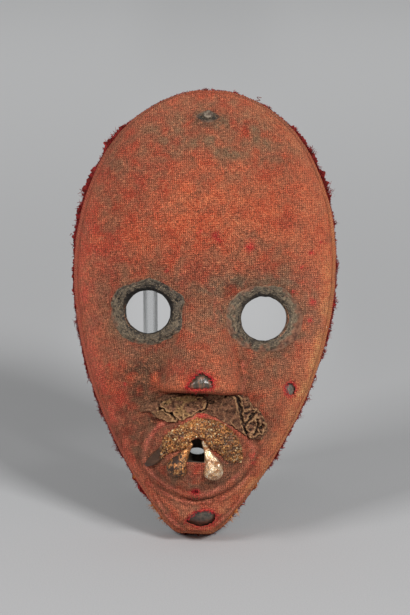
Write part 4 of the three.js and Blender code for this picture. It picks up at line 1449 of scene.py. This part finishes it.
def make_grains(material, u, v, height):
    """Loose grains over the crust's bed, most of them near the middle of the lip."""
    rng = np.random.default_rng(21)
    count = GRAIN_TRIES
    across, along = rng.integers(3, u.shape[1] - 2, count), rng.integers(3, u.shape[0] - 3, count)
    gu, gv = u[along, across], v[along, across]
    thick = bump(gu + 3, 10) + 0.3 * bump(gu - 14, 8) + 0.5 * bump(np.hypot(gu + 14, gv - 48), 4)
    thick *= smoothstep(fractal2(gu / 2.6, gv / 2.6, 154), -1.0, 0.1) * (gu > -18)
    keep = rng.uniform(0, 1, count) < 0.55 * thick
    across, along, gu, gv = across[keep], along[keep], gu[keep], gv[keep]
    gu, gv = gu + rng.normal(0, 0.25, len(gu)), gv + rng.normal(0, 0.25, len(gu))
    centres = over_cloth(gu, gv, height[along, across] + rng.uniform(-0.1, 0.5, len(along)))
    sizes = rng.uniform(0.4, 1.0, len(along)) ** 2 * 1.15
    *shape, owner = lumps(centres, np.maximum(sizes, 0.45), rng)
    obj = piece("crust_grains", shape, material, smooth=False)
    tone = rng.uniform(0.25, 1.1, len(along)) * (0.55 + 0.45 * bump(gu + 4, 12))
    store(obj, "tone", tone[owner])
    store(obj, "chance", rng.uniform(0, 1, len(along))[owner])


# ---- Teeth ----

# Each tooth's ends, its widest radius, its seed, its brass and how its tone goes from root to tip. The brass
# is a pale and a golden colour, the colour of its grime, how metallic it is and how dirty.
# The right tooth's paler colours and higher tone partly stand for its bright highlights: painted highlight.
TEETH = {
    "left": {
        "root": (-3.4, 51.5), "tip": (-12.9, 33.4), "bulb": 5.9, "seed": 3, "tone": (0, -0.25),
        "brass": ((232, 182, 124), (190, 114, 56), (58, 38, 28), 0.8, 1.0),
    },
    "right": {
        "root": (2.9, 53.4), "tip": (11, 32.1), "bulb": 5.4, "seed": 8, "tone": (0.3, 0.3),
        "brass": ((255, 246, 226), (244, 200, 144), (120, 76, 42), 0.7, 0.75),
    },
}
TOOTH_TURNS = 96
TOOTH_RINGS = 90
TOOTH_LIFT = 6.2
TOOTH_SINK = 0.6
TOOTH_PROFILE = [
    (0, 0), (0.01, 0.2), (0.06, 0.26), (0.22, 0.3), (0.34, 0.38), (0.43, 0.5), (0.58, 0.74), (0.7, 0.95),
    (0.79, 1), (0.88, 0.88), (0.95, 0.6), (0.985, 0.34), (1, 0),
]


def brass_material(name, pale, gold, grime, metallic, dirty):
    tree = Tree(name)
    broad = tree.noise(240, 3, 0.6, 0.6)
    pits = tree.noise(620, 3, 0.6)
    fine = tree.noise(1300, 4, 0.65)
    dirt = tree.span(broad, 0.46, 0.62, 0.0, 0.6)
    dirt = tree.plus(dirt, tree.span(tree.attribute("tone"), 0.2, 0.5, 0.6, 0.0))
    dirt = tree.plus(dirt, tree.span(pits, 0.48, 0.60, 0.0, 0.85))
    dirt = tree.plus(dirt, tree.span(fine, 0.54, 0.68, 0.0, 0.45))
    dirt = tree.math("MULTIPLY", tree.math("MINIMUM", dirt, 1.0), dirty)
    colour = tree.coats(
        srgb(*pale),
        (fine, 0.35, 0.6, 0, 1, gold),
        (broad, 0.42, 0.66, 0, 0.5 + 0.5 * dirty, (196, 116, 56)),
    )
    colour = tree.mix(dirt, colour, srgb(*grime))
    metal = tree.plus(metallic, dirt, -0.7 * metallic)
    relief = (tree.plus(pits, fine, 0.4), 0.7, 0.0009)
    return tree.finish(colour, tree.plus(0.3, dirt, 0.35), relief, Metallic=metal)


def swept(start, end, radii, shares, turns, dents):
    """A closed round form from start to end; dents changes each ring's radius by direction."""
    axis = end - start
    along = unit(axis)
    side = unit(np.cross(along, (0, 0, 1)))
    other = np.cross(along, side)
    turn = full_turn(turns)
    circle = np.cos(turn)[:, None] * side + np.sin(turn)[:, None] * other
    middle = start + shares[1:-1, None] * axis
    reach = radii[1:-1, None] * (1 + dents(shares[1:-1, None], turn[None]))
    rings = middle[:, None] + reach[..., None] * circle[None]
    index = np.arange(reach.size).reshape(reach.shape)
    on = np.roll(index, -1, axis=1)
    faces = ring_faces(index) + [(reach.size, b, a) for a, b in zip(index[0].tolist(), on[0].tolist())]
    faces += [(reach.size + 1, a, b) for a, b in zip(index[-1].tolist(), on[-1].tolist())]
    return (np.vstack([rings.reshape(-1, 3), start, end]), faces), reach


def off_face(u, v, lift):
    return np.array([u, v, float(face_depth(np.array([u]), np.array([v]))[0]) + lift])


def tooth_shape(tooth):
    shares = 0.5 - 0.5 * np.cos(np.linspace(0, math.pi, TOOTH_RINGS))
    radii = tooth["bulb"] * np.interp(shares, *np.array(TOOTH_PROFILE).T)
    radii = np.convolve(np.pad(radii, 2, mode="edge"), np.ones(5) / 5, mode="valid")
    seed = tooth["seed"]

    def dents(share, turn):
        x, y = np.cos(turn) * 1.6 + share * 3, np.sin(turn) * 1.6 - share * 2
        return 0.10 * fractal2(x, y + share * 5, seed, 2) + 0.025 * fractal2(x * 6, y * 6, seed + 5, 2)

    start, end = off_face(*tooth["root"], -TOOTH_SINK), off_face(*tooth["tip"], TOOTH_LIFT)
    return *swept(start, end, radii, shares, TOOTH_TURNS, dents), shares


def make_teeth():
    for side, tooth in TEETH.items():
        shape, reach, shares = tooth_shape(tooth)
        material = brass_material(f"worn_brass_{side}", *tooth["brass"])
        obj = piece(f"brass_tooth_{side}", shape, material, [f"tooth_{side}"])
        # tone is lower in the dents of the surface, where the brass is made darker.
        tone = np.append(hollows_of(reach, 10, 0.5).ravel(), [0.2, 0.4])
        below = np.append(np.repeat(smoothstep(shares[1:-1], 0.3, 0.6), TOOTH_TURNS), [0, 1])
        store(obj, "tone", tone + lerp(*tooth["tone"], below))


# ---- Nail ----

NAIL = {"u": -1.8, "v": 224, "head": 2.7, "rise": 1.5}
NAIL_LIFT = 0.3
NAIL_SEAT = 0.4
NAIL_PROFILE = [
    (0, 0), (0.001, 1), (0.3, 1), (0.5, 0.99), (0.68, 0.95), (0.82, 0.86), (0.92, 0.7), (0.97, 0.45),
    (0.99, 0.2), (1, 0),
]
RESIDUE_FOOT = [(-8.6, 223), (-5, 220.4), (-2, 219.4), (1.2, 220.6), (4.4, 223)]
RESIDUE_TOP = [(-8.6, 223.6), (-5, 226), (-2.4, 227.2), (0.8, 226.2), (4.4, 223.8)]


def iron_material():
    tree = Tree("dark_iron")
    broad = tree.noise(500, 3, 0.6)
    fine = tree.noise(2600, 3, 0.6)
    colour = tree.coats(
        srgb(70, 58, 48),
        (broad, 0.38, 0.62, 0, 1, (146, 134, 118)),
        (fine, 0.5, 0.66, 0, 0.6, (110, 72, 46)),
    )
    metal = tree.span(broad, 0.4, 0.65, 0.15, 0.7)
    return tree.finish(colour, 0.55, (tree.plus(broad, fine, 0.5), 0.8, 0.0004), Metallic=metal)


def make_nail():
    at = (np.array([NAIL["u"]]), np.array([NAIL["v"]]))
    out = unit(normal_of(face_depth, *at)[0])
    seat = over_cloth(*at, 0.0)[0] - NAIL_SEAT * out
    top = seat + out * (NAIL["rise"] + NAIL_LIFT + NAIL_SEAT)
    shares, radii = np.array(NAIL_PROFILE).T

    def dents(share, turn):
        return 0.09 * noise2(np.cos(turn) * 1.7, np.sin(turn) * 1.7 + share, 4)

    shape, _ = swept(seat, top, radii * NAIL["head"], shares, 48, dents)
    piece("iron_nail", shape, iron_material(), ["forehead_nail"])


def make_residue():
    """A crust of resin under the nail's head and round it."""
    u, v, s, t = strip_grid(RESIDUE_FOOT, RESIDUE_TOP, 110, 60)
    edge = from_edge(s, t, 8, 6)
    height = np.maximum(0.35 + 0.35 * fractal2(u / 1.6, v / 1.6, 160, 3), 0.05) * np.clip(edge, 0, 1) - 0.12
    shape = sheet_on_cloth(u, v, height, under=-0.6)
    obj = piece("nail_residue", shape, resin_material())
    grain = np.column_stack([u.ravel(), v.ravel(), 0 * u.ravel()])
    # Painted shade: the resin is darker in its hollows.
    store(obj, "tone", 0.05 + 0.4 * hollows_of(height, 8, 0.8))
    store(obj, "fade", 0.8 * (1 - np.clip(edge * 0.7, 0, 1)))
    store(obj, "grain", np.tile(grain, (2, 1)), "FLOAT_VECTOR")


# ---- Wood ----


def wood_material():
    tree = Tree("dark_wood")
    polish = tree.attribute("polish")
    grain = tree.noise(420, 4, 0.6, 0.6, tree.scaled(tree.place, 1, 1, 0.12))
    broad = tree.noise(22, 3, 0.6)
    spots = tree.noise(520, 3, 0.6, 0, tree.scaled(tree.place, 1, 1, 0.5))
    colour = tree.coats(
        srgb(38, 30, 26),
        (broad, 0.3, 0.7, 0, 1, (66, 52, 42)),
        (grain, 0.35, 0.7, 0, 0.6, (92, 72, 54)),
    )
    grey = tree.coats(srgb(70, 74, 68), (spots, 0.35, 0.65, 0, 1, (150, 144, 130)))
    colour = tree.mix(tree.attribute("pale"), colour, grey)
    rubbed = tree.math("MULTIPLY", polish, tree.span(spots, 0.5, 0.62, 0.0, 0.75))
    colour = tree.mix(rubbed, colour, srgb(132, 86, 62))
    rough = tree.plus(tree.span(broad, 0.3, 0.7, 0.45, 0.7), polish, -0.33)
    return tree.finish(colour, rough, (tree.plus(grain, spots, polish), 0.4, 0.0006), Specular_IOR_Level=0.6)


def worn_wood(u, v):
    """How far the wood stands up where it shows at the tip of the nose: a rubbed knob with ridges."""
    knob = smoothstep(inside(u, v, WORN["nose"]), 0.5, 2.4)
    ridges = 0.3 * bump(u + 2.8, 1.1) + 0.35 * bump(u - 1.8, 1.3) - 0.2 * bump(u + 0.6, 0.7)
    return knob * (0.75 + ridges + 0.15 * noise2(u * 1.3, v * 1.3, 170)) * smoothstep(v, 80.5, 83)


def tool_marks(u, v):
    """The shallow scoops that the carver's blade left in the hollow."""
    strokes = noise2(u / 9 + 0.35 * noise2(u / 20, v / 20, 5), v / 17, 21)
    return hollow_depth(u, v) + 0.7 * np.abs(strokes) + 0.15 * noise2(u / 3, v / 8, 9)


def make_wood():
    outer = mask_form(worn_wood, 0.9, rings=10, rim_step=1.8)
    front, back = (HOLLOW_WIDE * FRONT_WIDE, HOLLOW_TALL * FRONT_TALL), (HOLLOW_WIDE, HOLLOW_TALL)
    rows, columns = spaced_rows(1.6, 2.4), np.linspace(-1, 1, 84)
    hollow = outline_solid(rows, columns, front, back, tool_marks, EDGE_DEPTH - WALL, -1.0, 0.0, 6)
    slot = prism(ellipse(*MOUTH_SLOT.values(), count=32), BEHIND, RECESS_BACK + 5)
    recess = prism(MOUTH_RECESS, RECESS_BACK, IN_FRONT)
    shape = cut(outer, hollow, joined([*eye_holes(EYE_ROOM_WOOD), slot]), recess)
    obj = piece("carved_wood", shape, wood_material(), ["wood_shell"])
    u, v, depth = shape[0].T
    nose, cheek = bump(u, 7) * bump(v - 84, 5), bump(np.hypot(u - 48, v - 81), 4)
    chin = bump(u - 5, 8) * bump(v - 9, 5)
    # Paler wood on the upper part of the chin hole.
    upper_chin_pale = 0.5 * bump(u - 6, 5) * bump(v - 13, 3)
    front = depth > hollow_depth(u, v) + 3
    store(obj, "polish", front * np.clip(1.4 * nose + 0.5 * chin + 0.4 * cheek, 0, 1))
    store(obj, "pale", front * np.clip(0.22 * nose + 1.2 * cheek + upper_chin_pale, 0, 1))


# ---- Stand ----

ACRYLIC_BEVEL = 0.0006


def bevelled_box(low, high, bevel):
    shape = bmesh.new()
    bmesh.ops.create_cube(shape, size=1.0)
    low, high = Vector(low), Vector(high)
    bmesh.ops.scale(shape, vec=high - low, verts=shape.verts)
    bmesh.ops.translate(shape, vec=(low + high) / 2, verts=shape.verts)
    bmesh.ops.bevel(shape, geom=shape.edges, offset=bevel, segments=2, profile=0.5, affect="EDGES")
    points = [tuple(vertex.co) for vertex in shape.verts]
    faces = [tuple(vertex.index for vertex in face.verts) for face in shape.faces]
    shape.free()
    return points, faces


def acrylic_material(name, low, high):
    """Clear plastic between two corners; its upright edges are whiter and less clear, as a painted
    highlight.
    """
    tree = Tree(name)
    middle, half = (low[0] + high[0]) / 2, (high[0] - low[0]) / 2
    off_middle = tree.math("ABSOLUTE", tree.math("SUBTRACT", tree.part(tree.place, 0), middle))
    edge = tree.span(off_middle, half - 0.003, half - 0.0006)
    scratches = tree.noise(900, 3, 0.6, 0, tree.scaled(tree.place, 1, 1, 0.2))
    # Painted highlight: the upright edges are whiter.
    colour = tree.mix(edge, srgb(226, 236, 236), srgb(250, 254, 254))
    rough = tree.span(scratches, 0.62, 0.75, 0.03, 0.2)
    return tree.finish(colour, rough, Alpha=tree.plus(0.12, edge, 0.45))


def make_stand():
    for name, node in (("acrylic_post", "stand_post"), ("acrylic_plate", "stand_base")):
        low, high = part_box(node)
        shape = bevelled_box(low, high, ACRYLIC_BEVEL)
        material = acrylic_material(name, low, high)
        piece(name, shape, material, [node], smooth=False, place=np.asarray)


# ---- Stage, light and camera ----

FLOOR_REACH = 6.0
FLOOR_CORNERS = [(-1, -1), (1, -1), (1, 1), (-1, 1)]
SOFTBOX_ELEVATION = 38
SOFTBOX_DISTANCE = 2.6
SKY_STRENGTH = 0.27
CAMERA_ELEVATION = 17
CAMERA_DISTANCE = 1.395
CAMERA_LENS = 150
CAMERA_SENSOR = 36
CAMERA_AIM = Vector((0.0009, 0, 0.0021))  # from the middle of the mask


def make_stage():
    """A pale paper floor, with painted light: a little lighter behind the mask and with distance."""
    points = [(across * FLOOR_REACH, along * FLOOR_REACH, 0) for across, along in FLOOR_CORNERS]
    mesh = mesh_of("floor", points, [(0, 1, 2, 3)])
    tree = Tree("grey_paper")
    aside, behind = tree.math("ABSOLUTE", tree.part(tree.place, 0)), tree.part(tree.place, 1)
    colour = tree.coats(
        srgb(176, 176, 177),
        (tree.noise(1400), 0.3, 0.7, 0, 1, (182, 183, 184)),
        # Painted light: lighter with distance, to make up for light the lamps give less of far off.
        (behind, 0.15, 1.5, 0, 1, (230, 231, 232)),
    )
    # A painted pool of light just behind the mask.
    painted_glow = tree.math("MULTIPLY", tree.span(aside, 0.03, 0.11, 0.5, 0.0), tree.span(behind, 0.1, 0.4))
    colour = tree.mix(painted_glow, colour, srgb(220, 221, 222))
    mesh.materials.append(tree.finish(colour, 0.9, Specular_IOR_Level=0.2))
    in_scene("floor", mesh)


def facing(name, data, aim, azimuth, elevation, distance):
    """Puts a light or a camera some way off what it faces; azimuth 0 is the camera's side."""
    azimuth, elevation = math.radians(azimuth), math.radians(elevation)
    level = math.cos(elevation)
    away = Vector((math.sin(azimuth) * level, -math.cos(azimuth) * level, math.sin(elevation)))
    obj = in_scene(name, data)
    obj.location = aim + distance * away
    obj.rotation_euler = (-away).to_track_quat("-Z", "Y").to_euler()
    return obj


def soft_light(name, azimuth, size, power):
    """A square softbox that faces the mask."""
    light = bpy.data.lights.new(name, "AREA")
    light.shape = "SQUARE"
    light.size = size
    light.energy = power
    facing(name, light, middle_of_mask(), azimuth, SOFTBOX_ELEVATION, SOFTBOX_DISTANCE)


def make_lights():
    soft_light("key", 35, 0.6, 49)
    soft_light("fill", -53, 0.8, 32)
    world = bpy.data.worlds.new("studio")
    world.use_nodes = True
    background = world.node_tree.nodes["Background"]
    background.inputs["Color"].default_value = (1, 1, 1, 1)
    background.inputs["Strength"].default_value = SKY_STRENGTH
    bpy.context.scene.world = world
    bpy.context.scene.view_settings.view_transform = "Standard"


def make_camera():
    camera = bpy.data.cameras.new("camera")
    camera.lens = CAMERA_LENS
    camera.sensor_width = CAMERA_SENSOR
    camera.clip_start, camera.clip_end = 0.01, 30
    aim = middle_of_mask() + CAMERA_AIM
    bpy.context.scene.camera = facing("camera", camera, aim, 0, CAMERA_ELEVATION, CAMERA_DISTANCE)


# ---- The scene ----

make_stage()
make_lights()
make_camera()
make_wood()
cloth = make_cloth()
make_ribbons()
make_hem_fray()
make_rust_tufts()
make_torn_threads()
make_loose_fibres()
make_eye_rims()
make_moustache()
make_crust()
make_teeth()
make_nail()
make_residue()
make_stand()
